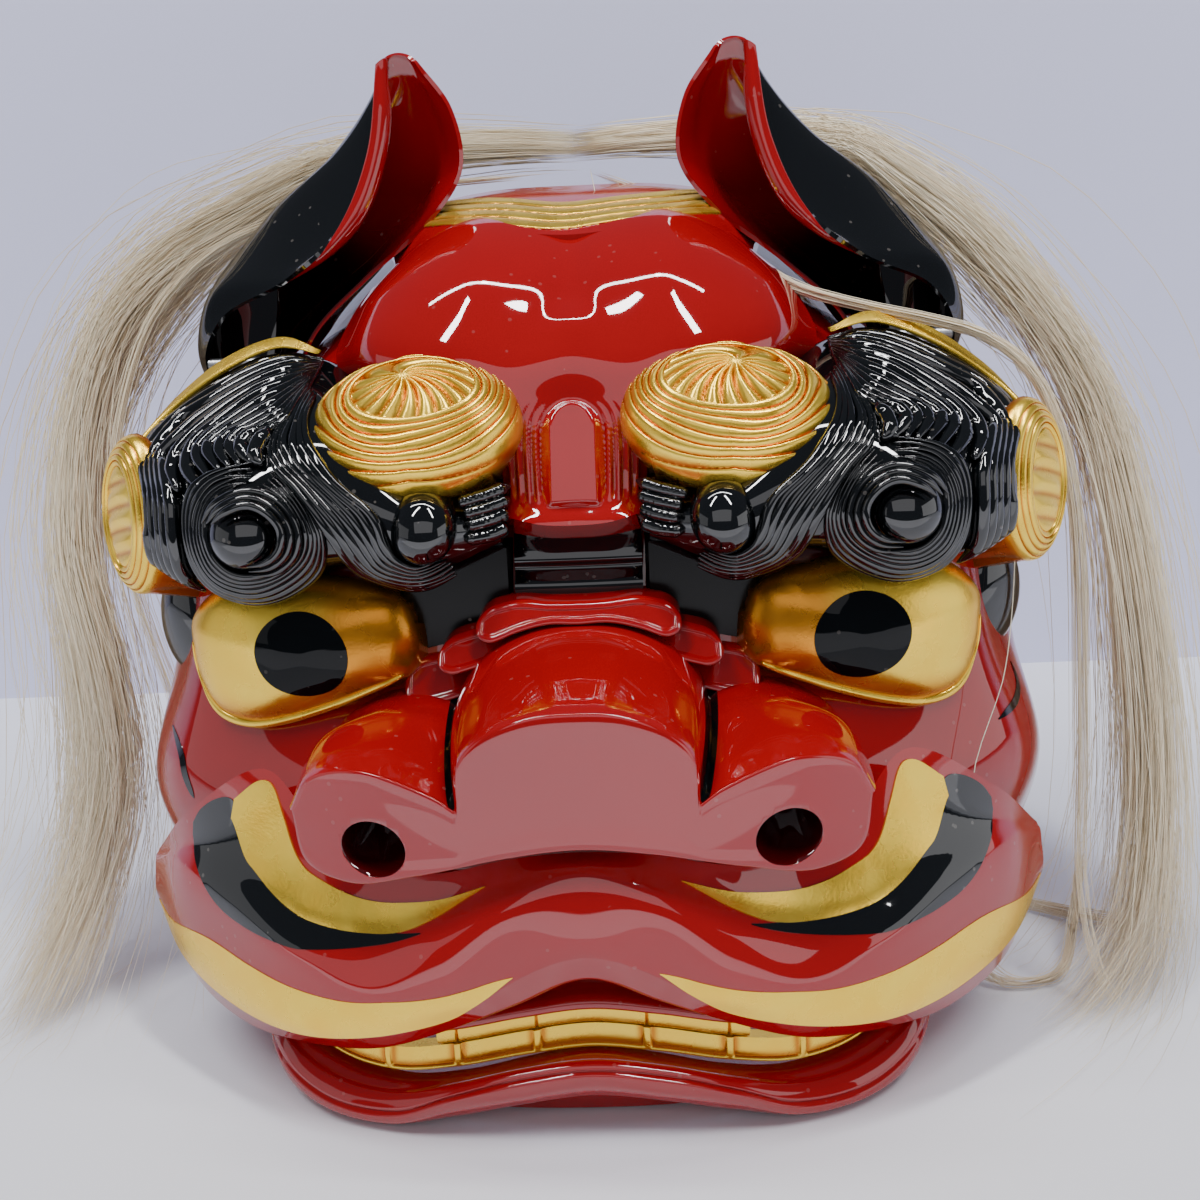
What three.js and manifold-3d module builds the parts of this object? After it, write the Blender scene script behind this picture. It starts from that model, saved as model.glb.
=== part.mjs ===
// A lion dance head: a hollow carved and lacquered head with a hinged jaw, two hinged ears and a
// horse hair mane. Millimetres, +Z up. The face looks towards -Y, and left and right are the
// viewer's. The origin lies on the flat underside of the jaw, on the centre plane.
import * as THREE from "three";
import Module from "manifold-3d";

const wasm = await Module();
wasm.setup();

// Driving dimensions

const HALF_WIDTH = 170; // centre plane to the side of the cheek
const FACE_REACH = 150; // origin to the front of the upper lip
const REAR_REACH = 122; // origin to the rear rim of the crown
const CROWN_HEIGHT = 300; // floor to the hairline
const GAP = 0.4; // between pieces that touch
const SHELL_WALL = 7; // carved wall of the head
const INLAY = 1.6; // thickness of the gilt and black bands on the lip
const INLAY_LIFT = 0.8; // from the lip's curve to the bands, which clears its facets
const PUPIL_RADIUS = 15;
const PUPIL_THICKNESS = 1.4;
const EYE_BULGE = 17; // from the socket to the top of the eye
const LID_RADIUS = 1.8;
const RIM_RADIUS = 3.2; // gilt cord above the brow
const BROW_CURL_RISE = 17;
const SIDE_CURL_RISE = 10;
const NOSTRIL_WIDTH = 19.6;
const NOSTRIL_HEIGHT = 16.8;
const NOSTRIL_DEPTH = 26;
const JAW_WALL = 9; // side boards of the jaw
const JAW_FLOOR = 7; // bottom board of the jaw
const JAW_CLEARANCE = 3; // jaw boards to the inside of the head
const JAW_PIN_RADIUS = 4;
const JAW_PIN_SETBACK = 60; // rear rim of the head to the jaw pin
const JAW_PIN_Z = 74;
const JAW_LUG_RADIUS = 14; // wood round the jaw pin
const PIN_CLEARANCE = 0.4;
const TOOTH_THICKNESS = 5;
const LOWER_TOOTH_HEIGHT = 8;
const UPPER_TOOTH_HEIGHT = 9;
const GUM_HEIGHT = 10;
const EAR_WALL = 3.6;
const EAR_RISE = 110; // ear pin to the ear's tip
const EAR_CLEARANCE = 2; // ear's foot to the head, for its swing
const EAR_PIN_RADIUS = 2.5;
const EAR_POST_RADIUS = 4;
const MANE_THICKNESS = 14;
const MANE_SPREAD = 250; // centre plane to the outermost hair
const FLOOR_CLEARANCE = 1.5; // hair ends above the floor

// Finishes: colour, roughness and metalness

const finish = (color, roughness, metalness) =>
  new THREE.MeshStandardMaterial({ color, roughness, metalness, side: THREE.FrontSide });
const RED = finish(0xa81016, 0.18, 0);
const BLACK = finish(0x0c0d10, 0.15, 0);
const GOLD = finish(0xe0b84a, 0.22, 1);
const HAIR = finish(0xd8c6a2, 0.6, 0);
const STEEL = finish(0x8d9095, 0.35, 1);

// Every table below holds shares in hundredths: x of HALF_WIDTH, y of FACE_REACH in front of the
// origin and of REAR_REACH behind it, z of CROWN_HEIGHT.
const at = ([x, y, z]) =>
  new THREE.Vector3(
    (x / 100) * HALF_WIDTH,
    (y / 100) * (y < 0 ? FACE_REACH : REAR_REACH),
    (z / 100) * CROWN_HEIGHT,
  );
const flip = (p) => new THREE.Vector3(-p.x, p.y, p.z);
const vec = (x, y, z) => new THREE.Vector3(x, y, z);

// Surfaces

// A surface through rails: smooth along each rail and smooth from rail to rail.
function surface(rails) {
  const curves = rails.map((r) => new THREE.CatmullRomCurve3(r, false, "centripetal"));
  return (along, across) => {
    const section = new THREE.CatmullRomCurve3(
      curves.map((c) => c.getPoint(along)),
      false,
      "centripetal",
    );
    return section.getPoint(across);
  };
}

// The rails of one half, with their mirror images before them: the first rail is the centre line.
function bothHalves(rails) {
  return [...rails.slice(1).reverse().map((r) => r.map(flip)), ...rails];
}

function gridOf(place, rows, columns) {
  return Array.from({ length: rows + 1 }, (_, i) =>
    Array.from({ length: columns + 1 }, (_, j) => place(i / rows, j / columns)),
  );
}

// The grid moved along its own normals, which point out of a face whose rows run up and whose
// columns run to the right.
function pushed(grid, distance) {
  const rows = grid.length - 1;
  const columns = grid[0].length - 1;
  return grid.map((row, i) =>
    row.map((p, j) => {
      const along = grid[Math.min(i + 1, rows)][j].clone().sub(grid[Math.max(i - 1, 0)][j]);
      const across = grid[i][Math.min(j + 1, columns)].clone().sub(grid[i][Math.max(j - 1, 0)]);
      const normal = across.cross(along).normalize();
      return p.clone().addScaledVector(normal, distance);
    }),
  );
}

// The grid moved straight down.
const lowered = (grid, depth) => grid.map((row) => row.map((p) => p.clone().add(vec(0, 0, -depth))));

// Solids

// A closed solid of the triangles, turned the right way out, with points that coincide merged.
function solidOf(triangles) {
  const index = new Map();
  const points = [];
  const numberOf = (p) => {
    const key = [p.x, p.y, p.z].map((c) => Math.round(c * 2000)).join();
    if (!index.has(key)) {
      index.set(key, points.length / 3);
      points.push(p.x, p.y, p.z);
    }
    return index.get(key);
  };
  const faces = triangles
    .map((t) => t.map(numberOf))
    .filter(([a, b, c]) => a !== b && b !== c && c !== a);
  const build = (list) =>
    new wasm.Manifold(
      new wasm.Mesh({
        numProp: 3,
        vertProperties: new Float32Array(points),
        triVerts: new Uint32Array(list.flat()),
      }),
    );
  const made = build(faces);
  return made.volume() > 0 ? made : build(faces.map(([a, b, c]) => [a, c, b]));
}

// Two triangles, split on the shorter diagonal so that both halves of the head split alike.
const quad = (a, b, c, d) =>
  a.distanceToSquared(c) < b.distanceToSquared(d)
    ? [
        [a, b, c],
        [a, c, d],
      ]
    : [
        [a, b, d],
        [b, c, d],
      ];

// The solid between two grids of the same size.
function between(front, back) {
  const rows = front.length - 1;
  const columns = front[0].length - 1;
  const faces = [];
  for (let i = 0; i < rows; i++)
    for (let j = 0; j < columns; j++) {
      faces.push(...quad(front[i][j], front[i + 1][j], front[i + 1][j + 1], front[i][j + 1]));
      faces.push(...quad(back[i][j], back[i][j + 1], back[i + 1][j + 1], back[i + 1][j]));
    }
  for (let i = 0; i < rows; i++) {
    faces.push(...quad(front[i][0], back[i][0], back[i + 1][0], front[i + 1][0]));
    faces.push(
      ...quad(front[i][columns], front[i + 1][columns], back[i + 1][columns], back[i][columns]),
    );
  }
  for (let j = 0; j < columns; j++) {
    faces.push(...quad(front[0][j], front[0][j + 1], back[0][j + 1], back[0][j]));
    faces.push(...quad(front[rows][j], back[rows][j], back[rows][j + 1], front[rows][j + 1]));
  }
  return solidOf(faces);
}

// The solid inside closed loops of points, one loop for each section, with flat ends.
function loftLoops(loops) {
  const sides = loops[0].length;
  const faces = [];
  for (let i = 0; i + 1 < loops.length; i++)
    for (let j = 0; j < sides; j++) {
      const k = (j + 1) % sides;
      faces.push(...quad(loops[i][j], loops[i][k], loops[i + 1][k], loops[i + 1][j]));
    }
  for (const [loop, turn] of [
    [loops[0], true],
    [loops.at(-1), false],
  ]) {
    const middle = loop.reduce((sum, p) => sum.add(p), vec(0, 0, 0)).divideScalar(sides);
    for (let j = 0; j < sides; j++) {
      const k = (j + 1) % sides;
      faces.push(turn ? [middle, loop[k], loop[j]] : [middle, loop[j], loop[k]]);
    }
  }
  return solidOf(faces);
}

// The manifold solid of a three.js geometry.
function solidOfGeometry(geometry) {
  const g = geometry.index ? geometry.toNonIndexed() : geometry;
  const p = g.getAttribute("position");
  const corner = (i) => vec(p.getX(i), p.getY(i), p.getZ(i));
  const triangles = [];
  for (let i = 0; i < p.count; i += 3) triangles.push([corner(i), corner(i + 1), corner(i + 2)]);
  return solidOf(triangles);
}

// A round tube along a curve.
function tube(points, radius, steps, sides) {
  const section = new THREE.Shape(
    Array.from({ length: sides }, (_, i) => {
      const angle = (2 * Math.PI * i) / sides;
      return new THREE.Vector2(radius * Math.cos(angle), radius * Math.sin(angle));
    }),
  );
  const path = new THREE.CatmullRomCurve3(points, false, "centripetal");
  return solidOfGeometry(
    new THREE.ExtrudeGeometry(section, { steps, extrudePath: path, bevelEnabled: false }),
  );
}

// A round rod from one point to another.
function rod(from, to, radius, sides = 16) {
  const length = from.distanceTo(to);
  const geometry = new THREE.CylinderGeometry(radius, radius, length, sides);
  const turn = new THREE.Quaternion().setFromUnitVectors(
    vec(0, 1, 0),
    to.clone().sub(from).normalize(),
  );
  geometry.applyQuaternion(turn);
  const middle = from.clone().lerp(to, 0.5);
  geometry.translate(middle.x, middle.y, middle.z);
  return solidOfGeometry(geometry);
}

// A boss on an oval base. Across, up and out are its axes, with the half-sizes in across and up,
// and the height in out. Profile gives the height share at a radius share, and root is how far the
// base goes back into the wood.
function boss({ centre, across, up, out, rise, root, profile, rings = 5, spokes = 16 }) {
  const direction = out.clone().normalize();
  const ringAt = (share, height) =>
    Array.from({ length: spokes }, (_, j) => {
      const angle = (2 * Math.PI * j) / spokes;
      return centre
        .clone()
        .addScaledVector(across, share * Math.cos(angle))
        .addScaledVector(up, share * Math.sin(angle))
        .addScaledVector(direction, height);
    });
  const loops = [];
  for (let i = 0; i < rings; i++) {
    const share = 0.06 + (0.94 * i) / (rings - 1);
    loops.push(ringAt(share, rise * profile(share)));
  }
  loops.push(ringAt(1, -root));
  return loftLoops(loops);
}

const DOME = (share) => Math.sqrt(Math.max(0, 1 - share * share));

// The solid with each point moved out along its normal, to cut a seat with a gap.
function grown(solid, by = GAP) {
  const mesh = solid.getMesh();
  const count = mesh.vertProperties.length / mesh.numProp;
  const point = (i) => vec(...mesh.vertProperties.slice(i * mesh.numProp, i * mesh.numProp + 3));
  const normals = Array.from({ length: count }, () => vec(0, 0, 0));
  for (let i = 0; i < mesh.triVerts.length; i += 3) {
    const corners = [...mesh.triVerts.slice(i, i + 3)];
    const [a, b, c] = corners.map(point);
    const face = b.clone().sub(a).cross(c.clone().sub(a)).normalize();
    corners.forEach((k, n) => {
      const [p, q, r] = [0, 1, 2].map((m) => point(corners[(n + m) % 3]));
      const angle = q.sub(p).angleTo(r.sub(p));
      normals[k].addScaledVector(face, angle || 0);
    });
  }
  const moved = new Float32Array(count * 3);
  for (let i = 0; i < count; i++)
    point(i).addScaledVector(normals[i].normalize(), by).toArray(moved, i * 3);
  return new wasm.Manifold(
    new wasm.Mesh({ numProp: 3, vertProperties: moved, triVerts: mesh.triVerts }),
  );
}

// The largest body of a solid: a cut can leave crumbs beside it.
function largest(solid) {
  return solid
    .decompose()
    .reduce((best, body) => (body.volume() > best.volume() ? body : best));
}

// A piece with a seat cut for each neighbour, with the gap between them.
function seated(solid, ...neighbours) {
  return largest(neighbours.reduce((left, n) => left.subtract(grown(n)), solid));
}

const mirrored = (solid) => solid.mirror([1, 0, 0]);

// Head shell

// Rails from the centre line out to the lower edge of the side wall. Each has 8 points, from the
// edge over the mouth up and back to the rear rim.
const SHELL_RAILS = [
  [
    [0, -91, 20.7], [0, -79, 33], [0, -62, 46], [0, -42, 60.7], [0, -31, 77],
    [0, 0, 93.3], [0, 45, 100.5], [0, 100, 104],
  ],
  [
    [29, -87, 20], [28, -76, 34], [26, -54, 46.7], [26, -42, 62.7], [26, -28, 78.7],
    [25, 2, 92.7], [26, 45, 99], [28, 98, 102.3],
  ],
  [
    [56, -72, 17], [58, -61, 34], [57, -46, 47.5], [54, -43, 63], [52, -17, 78.7],
    [49, 12, 87.7], [52, 50, 92.7], [55, 95, 94.7],
  ],
  [
    [76, -50, 15], [91, -40, 30.5], [82, -37, 46], [77, -33, 61], [75, -5, 73],
    [73, 25, 78.5], [76, 57, 80.3], [79, 90, 79.3],
  ],
  [
    [88, -30, 14], [101, -20, 28.5], [97, -11, 42], [94, -3, 53], [92, 14, 59],
    [91, 36, 61], [92, 60, 60], [93, 82, 56.7],
  ],
  [
    [93, -20, 13.5], [96, -10, 13.2], [96, 2, 13], [95, 16, 13], [94, 30, 13],
    [93, 43, 13], [91, 57, 13], [89, 70, 13],
  ],
].map((rail) => rail.map(at));
const CORE_DEPTH = 45; // of the cutter that stands for the head behind the carvings

const shellSkin = gridOf(surface(bothHalves(SHELL_RAILS)), 11, 16);
const shellBlank = between(shellSkin, pushed(shellSkin, -SHELL_WALL));
const core = grown(shellBlank).add(
  between(pushed(shellSkin, -SHELL_WALL / 2), pushed(shellSkin, -CORE_DEPTH)),
);
const onCore = (solid, ...neighbours) => seated(solid.subtract(core), ...neighbours);

const JAW_PIN_Y = REAR_REACH - JAW_PIN_SETBACK;
const jawPinEnd = (share) => vec(share * HALF_WIDTH, JAW_PIN_Y, JAW_PIN_Z);
const PIN_REACH = 0.95; // share of the half width where the jaw pin ends
const jawPin = rod(jawPinEnd(-PIN_REACH), jawPinEnd(PIN_REACH), JAW_PIN_RADIUS);
const jawPinBore = rod(jawPinEnd(-1.1), jawPinEnd(1.1), JAW_PIN_RADIUS + PIN_CLEARANCE);

// Forehead and crown

// Rails from the centre line to the edge, each from the bridge foot up to the hairline.
const FOREHEAD_RAILS = [
  [[0, -55, 63.7], [0, -51, 69], [0, -46, 75], [0, -41, 82.3], [0, -29, 90], [0, -11, 96], [0, 10, 98.7]],
  [
    [7, -55.5, 64], [8, -51.5, 69], [13, -48, 75], [20, -44, 82.3], [22, -31, 90.7],
    [22, -12, 96.7], [21, 10, 99.3],
  ],
  [
    [12, -53, 64.7], [14, -47, 69.3], [26, -40, 75.3], [39, -35, 82], [40, -23, 88.7],
    [35, -8, 94], [32, 11, 97],
  ],
  [
    [13.5, -38, 65.3], [18, -32, 69.3], [36, -24, 75.3], [51, -17, 81], [50, -6, 86],
    [44, 1, 90.7], [36, 13, 93.5],
  ],
].map((rail) => rail.map(at));
const FOREHEAD_DEPTH = 26;
const foreheadSkin = gridOf(surface(bothHalves(FOREHEAD_RAILS)), 7, 12);
const forehead = onCore(between(foreheadSkin, pushed(foreheadSkin, -FOREHEAD_DEPTH)));

// The gilt waves of the hairline, from the front to the rear: a ridge for each line of gilt.
const HAIRLINE_LINES = 5;
const HAIRLINE_RIDGE = 1.4;
const HAIRLINE_RAILS = [
  [[0, 13, 99.6], [0, 20, 101.4], [0, 29, 101.6]],
  [[18, 12, 99.8], [19, 19, 101.3], [20, 28, 101.4]],
  [[30, 14, 98.4], [32, 21, 99.6], [34, 29, 99.6]],
  [[38, 19, 95.4], [41, 26, 96.6], [43, 33, 96.4]],
].map((rail) => rail.map(at));
const HAIRLINE_DEPTH = 18;
const hairlinePlain = surface(bothHalves(HAIRLINE_RAILS));
const hairlineSkin = gridOf(
  (along, across) => {
    const ridge = Math.abs(Math.sin(along * HAIRLINE_LINES * Math.PI));
    return hairlinePlain(along, across).add(vec(0, 0, ridge * HAIRLINE_RIDGE));
  },
  HAIRLINE_LINES * 2,
  6,
);
const hairline = onCore(
  between(hairlineSkin, lowered(hairlineSkin, HAIRLINE_DEPTH)),
  forehead,
);

// Brow curls, side curls and the lobes below them

const CURL_STEPS = [1, 1, 0.93, 0.86, 0.72, 0.55, 0.22];
const curlProfile = (share) => {
  const place = share * (CURL_STEPS.length - 1);
  const below = Math.min(Math.floor(place), CURL_STEPS.length - 2);
  return THREE.MathUtils.lerp(CURL_STEPS[below], CURL_STEPS[below + 1], place - below);
};
const browCurlRight = onCore(
  boss({
    centre: at([31, -47, 74.3]),
    across: at([21.5, 0, 0]).add(vec(0, 3, -2)),
    up: vec(0, 0.14 * FACE_REACH, 0.068 * CROWN_HEIGHT),
    out: vec(0.05, -0.7, 0.7),
    rise: BROW_CURL_RISE,
    root: 20,
    profile: curlProfile,
    spokes: 18,
  }),
  forehead,
);
const sideCurlRight = onCore(
  boss({
    centre: at([91.5, -35, 65.3]),
    across: vec(0.085 * HALF_WIDTH, 0.09 * FACE_REACH, 0),
    up: vec(-2, 0, 0.096 * CROWN_HEIGHT),
    out: vec(0.66, -0.75, 0),
    rise: SIDE_CURL_RISE,
    root: 26,
    profile: curlProfile,
  }),
);
const sideLobeRight = onCore(
  boss({
    centre: at([88, -24, 50.6]),
    across: vec(0.07 * HALF_WIDTH, 0.06 * FACE_REACH, 0),
    up: vec(0, 0, 0.068 * CROWN_HEIGHT),
    out: vec(0.5, -0.86, 0),
    rise: 7,
    root: 24,
    profile: DOME,
    rings: 4,
    spokes: 12,
  }),
  sideCurlRight,
);

// Eyes

const eyeFrame = {
  centre: at([55.3, -48.7, 50]),
  across: vec(0.225 * HALF_WIDTH, 0.066 * FACE_REACH, 0),
  up: vec(0, 0, 0.085 * CROWN_HEIGHT),
  out: vec(0.2, -0.98, 0),
};
const EYE_ROOT = 20;
const eyeRight = onCore(
  boss({ ...eyeFrame, rise: EYE_BULGE, root: EYE_ROOT, profile: DOME, rings: 6, spokes: 18 }),
);
// A point on the eye, at shares of its two half sizes, lifted off its surface.
function onEye(a, b, lift) {
  return eyeFrame.centre
    .clone()
    .addScaledVector(eyeFrame.across, a)
    .addScaledVector(eyeFrame.up, b)
    .addScaledVector(eyeFrame.out.clone().normalize(), EYE_BULGE * DOME(Math.hypot(a, b)) + lift);
}
const PUPIL_LIFT = 1; // from the eye's curve to the pupil, which clears its facets
const PUPIL_PLACE = [0.02, 0.06]; // shares of the eye's half sizes
const pupilRight = (() => {
  const a = PUPIL_RADIUS / eyeFrame.across.length();
  const b = PUPIL_RADIUS / eyeFrame.up.length();
  const sides = 14;
  const layer = (lift) =>
    [1, 0.5].map((share) =>
      Array.from({ length: sides }, (_, j) => {
        const angle = (2 * Math.PI * j) / sides;
        return onEye(
          PUPIL_PLACE[0] + share * a * Math.cos(angle),
          PUPIL_PLACE[1] + share * b * Math.sin(angle),
          lift,
        );
      }),
    );
  const top = layer(PUPIL_LIFT + PUPIL_THICKNESS);
  const low = layer(PUPIL_LIFT);
  return loftLoops([...low.reverse(), ...top]);
})();

// Brows: the carved hair that hangs over the eyes, with its two spirals.

// One section for each row, from the bridge to the side curl. Columns: top back, top, crest,
// front, lower front, bottom, back, each as y and z shares at the row's x share.
const BROW_SECTIONS = [
  { x: 14, ring: [[-30, 67], [-42, 67.5], [-52, 66.5], [-57, 65], [-57, 62.5], [-50, 60.5], [-30, 60.5]] },
  { x: 29, ring: [[-30, 70], [-44, 70], [-60, 69], [-67, 66], [-66, 61.5], [-56, 58], [-30, 58]] },
  { x: 47, ring: [[-14, 80], [-26, 80], [-52, 76], [-65, 69], [-63, 62], [-54, 59.5], [-30, 59]] },
  { x: 62, ring: [[-6, 82], [-17, 82.3], [-44, 78], [-64, 70], [-65, 60.5], [-54, 56.5], [-30, 56.5]] },
  { x: 76, ring: [[-6, 79], [-17, 79.5], [-42, 75.5], [-58, 69], [-59, 61], [-50, 58], [-26, 58]] },
  { x: 87, ring: [[-8, 74.5], [-19, 75.5], [-38, 73], [-48, 68], [-50, 62.5], [-42, 60], [-20, 60]] },
];
const SPIRALS = [
  { at: [63.5, -62, 65.5], wide: 17, tall: 8.2, rise: 9 },
  { at: [30.5, -63, 63.8], wide: 11, tall: 5.4, rise: 8 },
];
const spiralProfile = (share) =>
  share < 0.45 ? 0.7 + 0.3 * DOME(share / 0.45) : 0.62 * DOME((share - 0.45) / 0.62);
function browBlank() {
  const rails = BROW_SECTIONS[0].ring.map((_, k) =>
    BROW_SECTIONS.map(({ x, ring }) => at([x, ring[k][0], ring[k][1]])),
  );
  const curves = rails.map((r) => new THREE.CatmullRomCurve3(r, false, "centripetal"));
  const steps = 7;
  const sides = 10;
  const loops = Array.from({ length: steps + 1 }, (_, i) => {
    const corners = curves.map((c) => c.getPoint(i / steps));
    const ring = new THREE.CatmullRomCurve3(corners, true, "centripetal");
    return Array.from({ length: sides }, (_, j) => ring.getPoint(j / sides));
  });
  const mass = loftLoops(loops);
  return SPIRALS.reduce(
    (solid, spiral) =>
      solid.add(
        boss({
          centre: at(spiral.at),
          across: vec((spiral.wide / 100) * HALF_WIDTH, 2, 0),
          up: vec(0, 2, (spiral.tall / 100) * CROWN_HEIGHT),
          out: vec(0.1, -0.98, -0.12),
          rise: spiral.rise,
          root: 14,
          profile: spiralProfile,
          rings: 4,
          spokes: 10,
        }),
      ),
    mass,
  );
}
const browRight = onCore(browBlank(), forehead, browCurlRight, sideCurlRight, eyeRight, sideLobeRight);

// The gilt cord over the brow, from beside the forehead to the side curl.
const RIM_PATH = [[54, -23, 82.8], [63, -18, 83.8], [76, -17.5, 81], [87, -19, 77], [94, -24, 73]].map(at);
const browRimRight = onCore(
  tube(RIM_PATH, RIM_RADIUS, 8, 6),
  browRight,
  forehead,
  sideCurlRight,
  browCurlRight,
);

// The gilt line under the eye, along the top of the cheek.
const LID_PATH = [
  [47, -56.8, 41.6], [55.3, -55.8, 41.1], [60.8, -53.8, 41.3], [66, -50.3, 42],
  [70.6, -47.2, 43.2], [74.4, -43.6, 44.7], [77.2, -41, 46.5],
].map(at);

// Nose

// Right half of the nose's outline, from the top of its centre lobe round the wing to the centre
// of its lower edge, on three planes. Columns: x and z on the front face, at the notches, at the root.
const NOSE_OUTLINE = [
  { front: [0, 49.5], middle: [0, 52.7], root: [0, 55] },
  { front: [9, 49.2], middle: [10, 52.3], root: [10, 54.3] },
  { front: [17, 47.2], middle: [18, 50.3], root: [18, 52] },
  { front: [20.8, 44.3], middle: [23, 46.7], root: [23, 48.5] },
  { front: [21.3, 39.7], middle: [24, 43], root: [25, 46] },
  { front: [25.5, 41.3], middle: [28, 44.3], root: [30, 46] },
  { front: [39, 43.6], middle: [40, 45.6], root: [40, 45] },
  { front: [49, 42], middle: [50, 43.5], root: [49, 42] },
  { front: [53, 38.3], middle: [54, 39], root: [53, 38.5] },
  { front: [51.5, 33.3], middle: [52, 33.3], root: [52, 34] },
  { front: [43, 31.3], middle: [43, 31], root: [43, 32] },
  { front: [29.5, 32.8], middle: [29.5, 32.2], root: [29, 33] },
  { front: [13, 35], middle: [13, 34.3], root: [13, 35] },
];
const NOSE_LOWER_CENTRE = { front: [0, 35.8], middle: [0, 35], root: [0, 35.5] };
// Depth of each plane at the centre, and how far it falls back at the side of the wing.
const NOSE_PLANES = [
  { from: "front", y: -101, fall: 12, inset: 0.965 },
  { from: "front", y: -99, fall: 12, inset: 0.99 },
  { from: "middle", y: -90, fall: 9, inset: 1 },
  { from: "middle", y: -78, fall: 4, inset: 1 },
  { from: "root", y: -60, fall: -8, inset: 1 },
  { from: "root", y: -44, fall: -8, inset: 1 },
];
const NOSE_MIDDLE_SHARE = 41; // height share that the inset shrinks towards
function noseLoop({ from, y, fall, inset }) {
  const point = ([x, z], side) =>
    at([
      side * x * inset,
      y + fall * (x / 53) ** 2.4,
      NOSE_MIDDLE_SHARE + (z - NOSE_MIDDLE_SHARE) * inset,
    ]);
  const half = NOSE_OUTLINE.map((row) => row[from]);
  const right = half.map((p) => point(p, 1));
  const left = half.slice(1).reverse().map((p) => point(p, -1));
  return [...right, point(NOSE_LOWER_CENTRE[from], 1), ...left];
}
const NOSTRIL_PLACE = [37, -92, 35.4];
const nostrilBore = (side) => {
  const bore = new THREE.CylinderGeometry(1, 0.82, NOSTRIL_DEPTH, 14);
  bore.scale(NOSTRIL_WIDTH / 2, 1, NOSTRIL_HEIGHT / 2);
  bore.rotateX(THREE.MathUtils.degToRad(180));
  const centre = at([side * NOSTRIL_PLACE[0], NOSTRIL_PLACE[1], NOSTRIL_PLACE[2]]);
  const mouthLift = 8; // the cutter starts in front of the wing
  bore.translate(centre.x, centre.y + NOSTRIL_DEPTH / 2 - mouthLift, centre.z);
  return solidOfGeometry(bore);
};
const noseBlank = loftLoops(NOSE_PLANES.map(noseLoop))
  .subtract(nostrilBore(1))
  .subtract(nostrilBore(-1));
const nose = onCore(noseBlank, eyeRight, mirrored(eyeRight));
const lidRight = onCore(tube(LID_PATH, LID_RADIUS, 8, 6), eyeRight, nose);

// Root of the nose: the scalloped red ridge and the black band above it.

const RIDGE_OUTLINE = [
  [0, 55.8], [13, 55.9], [17.5, 54.7], [18, 53.3], [22, 52.4],
  [23, 51.4], [26.5, 51.4], [27.5, 50], [30.5, 49.4], [31.5, 48.2],
  [34.5, 47.6], [35.5, 45], [32, 43], [20, 43], [0, 43],
];
const RIDGE_TOP_SHARE = -54; // share of the reach at the top of the ridge
const RIDGE_SLOPE = 0.75; // forward, for each unit down
const ROOT_BACK_SHARE = -36;
function plate(outline, frontY, backY) {
  const half = outline.map(([x, z]) => [x, z]);
  const mirror = half
    .filter(([x]) => x > 0)
    .reverse()
    .map(([x, z]) => [-x, z]);
  const loop = [...half, ...mirror];
  return loftLoops([
    loop.map(([x, z]) => at([x, frontY(z), z])),
    loop.map(([x, z]) => at([x, backY, z])),
  ]);
}
const ridgeTop = RIDGE_OUTLINE[0][1];
const rootRidge = onCore(
  plate(RIDGE_OUTLINE, (z) => RIDGE_TOP_SHARE - RIDGE_SLOPE * (ridgeTop - z), ROOT_BACK_SHARE),
  nose,
  eyeRight,
  mirrored(eyeRight),
);
// Profile of the black band from its top to its foot, as y and z shares.
const BAND_PROFILE = [
  [-36, 65.5], [-46, 65.5], [-45, 62.5], [-48.5, 59.4], [-47.5, 58.4],
  [-51, 56.6], [-49, 53.5], [-36, 53],
];
const BAND_HALF_SHARE = 12.8;
const bandEnds = [-BAND_HALF_SHARE, BAND_HALF_SHARE];
const ROOT_GAP = 1; // below the forehead, whose foot is strongly curved
const rootBand = onCore(
  loftLoops(bandEnds.map((x) => BAND_PROFILE.map(([y, z]) => at([x, y, z])))).subtract(
    grown(forehead, ROOT_GAP),
  ),
  rootRidge,
  browCurlRight,
  mirrored(browCurlRight),
);
// Black panel between the band and the eye.
const PANEL_OUTLINE = [[13.4, 61.5], [36, 61.5], [36, 49], [27, 50], [13.4, 54.5]];
const PANEL_FRONT_SHARE = -50;
const panelRight = onCore(
  loftLoops([
    PANEL_OUTLINE.map(([x, z]) => at([x, PANEL_FRONT_SHARE, z])),
    PANEL_OUTLINE.map(([x, z]) => at([x, ROOT_BACK_SHARE, z])),
  ]),
  rootRidge,
  rootBand,
  browRight,
  eyeRight,
  nose,
  forehead,
);

// Upper lip

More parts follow.
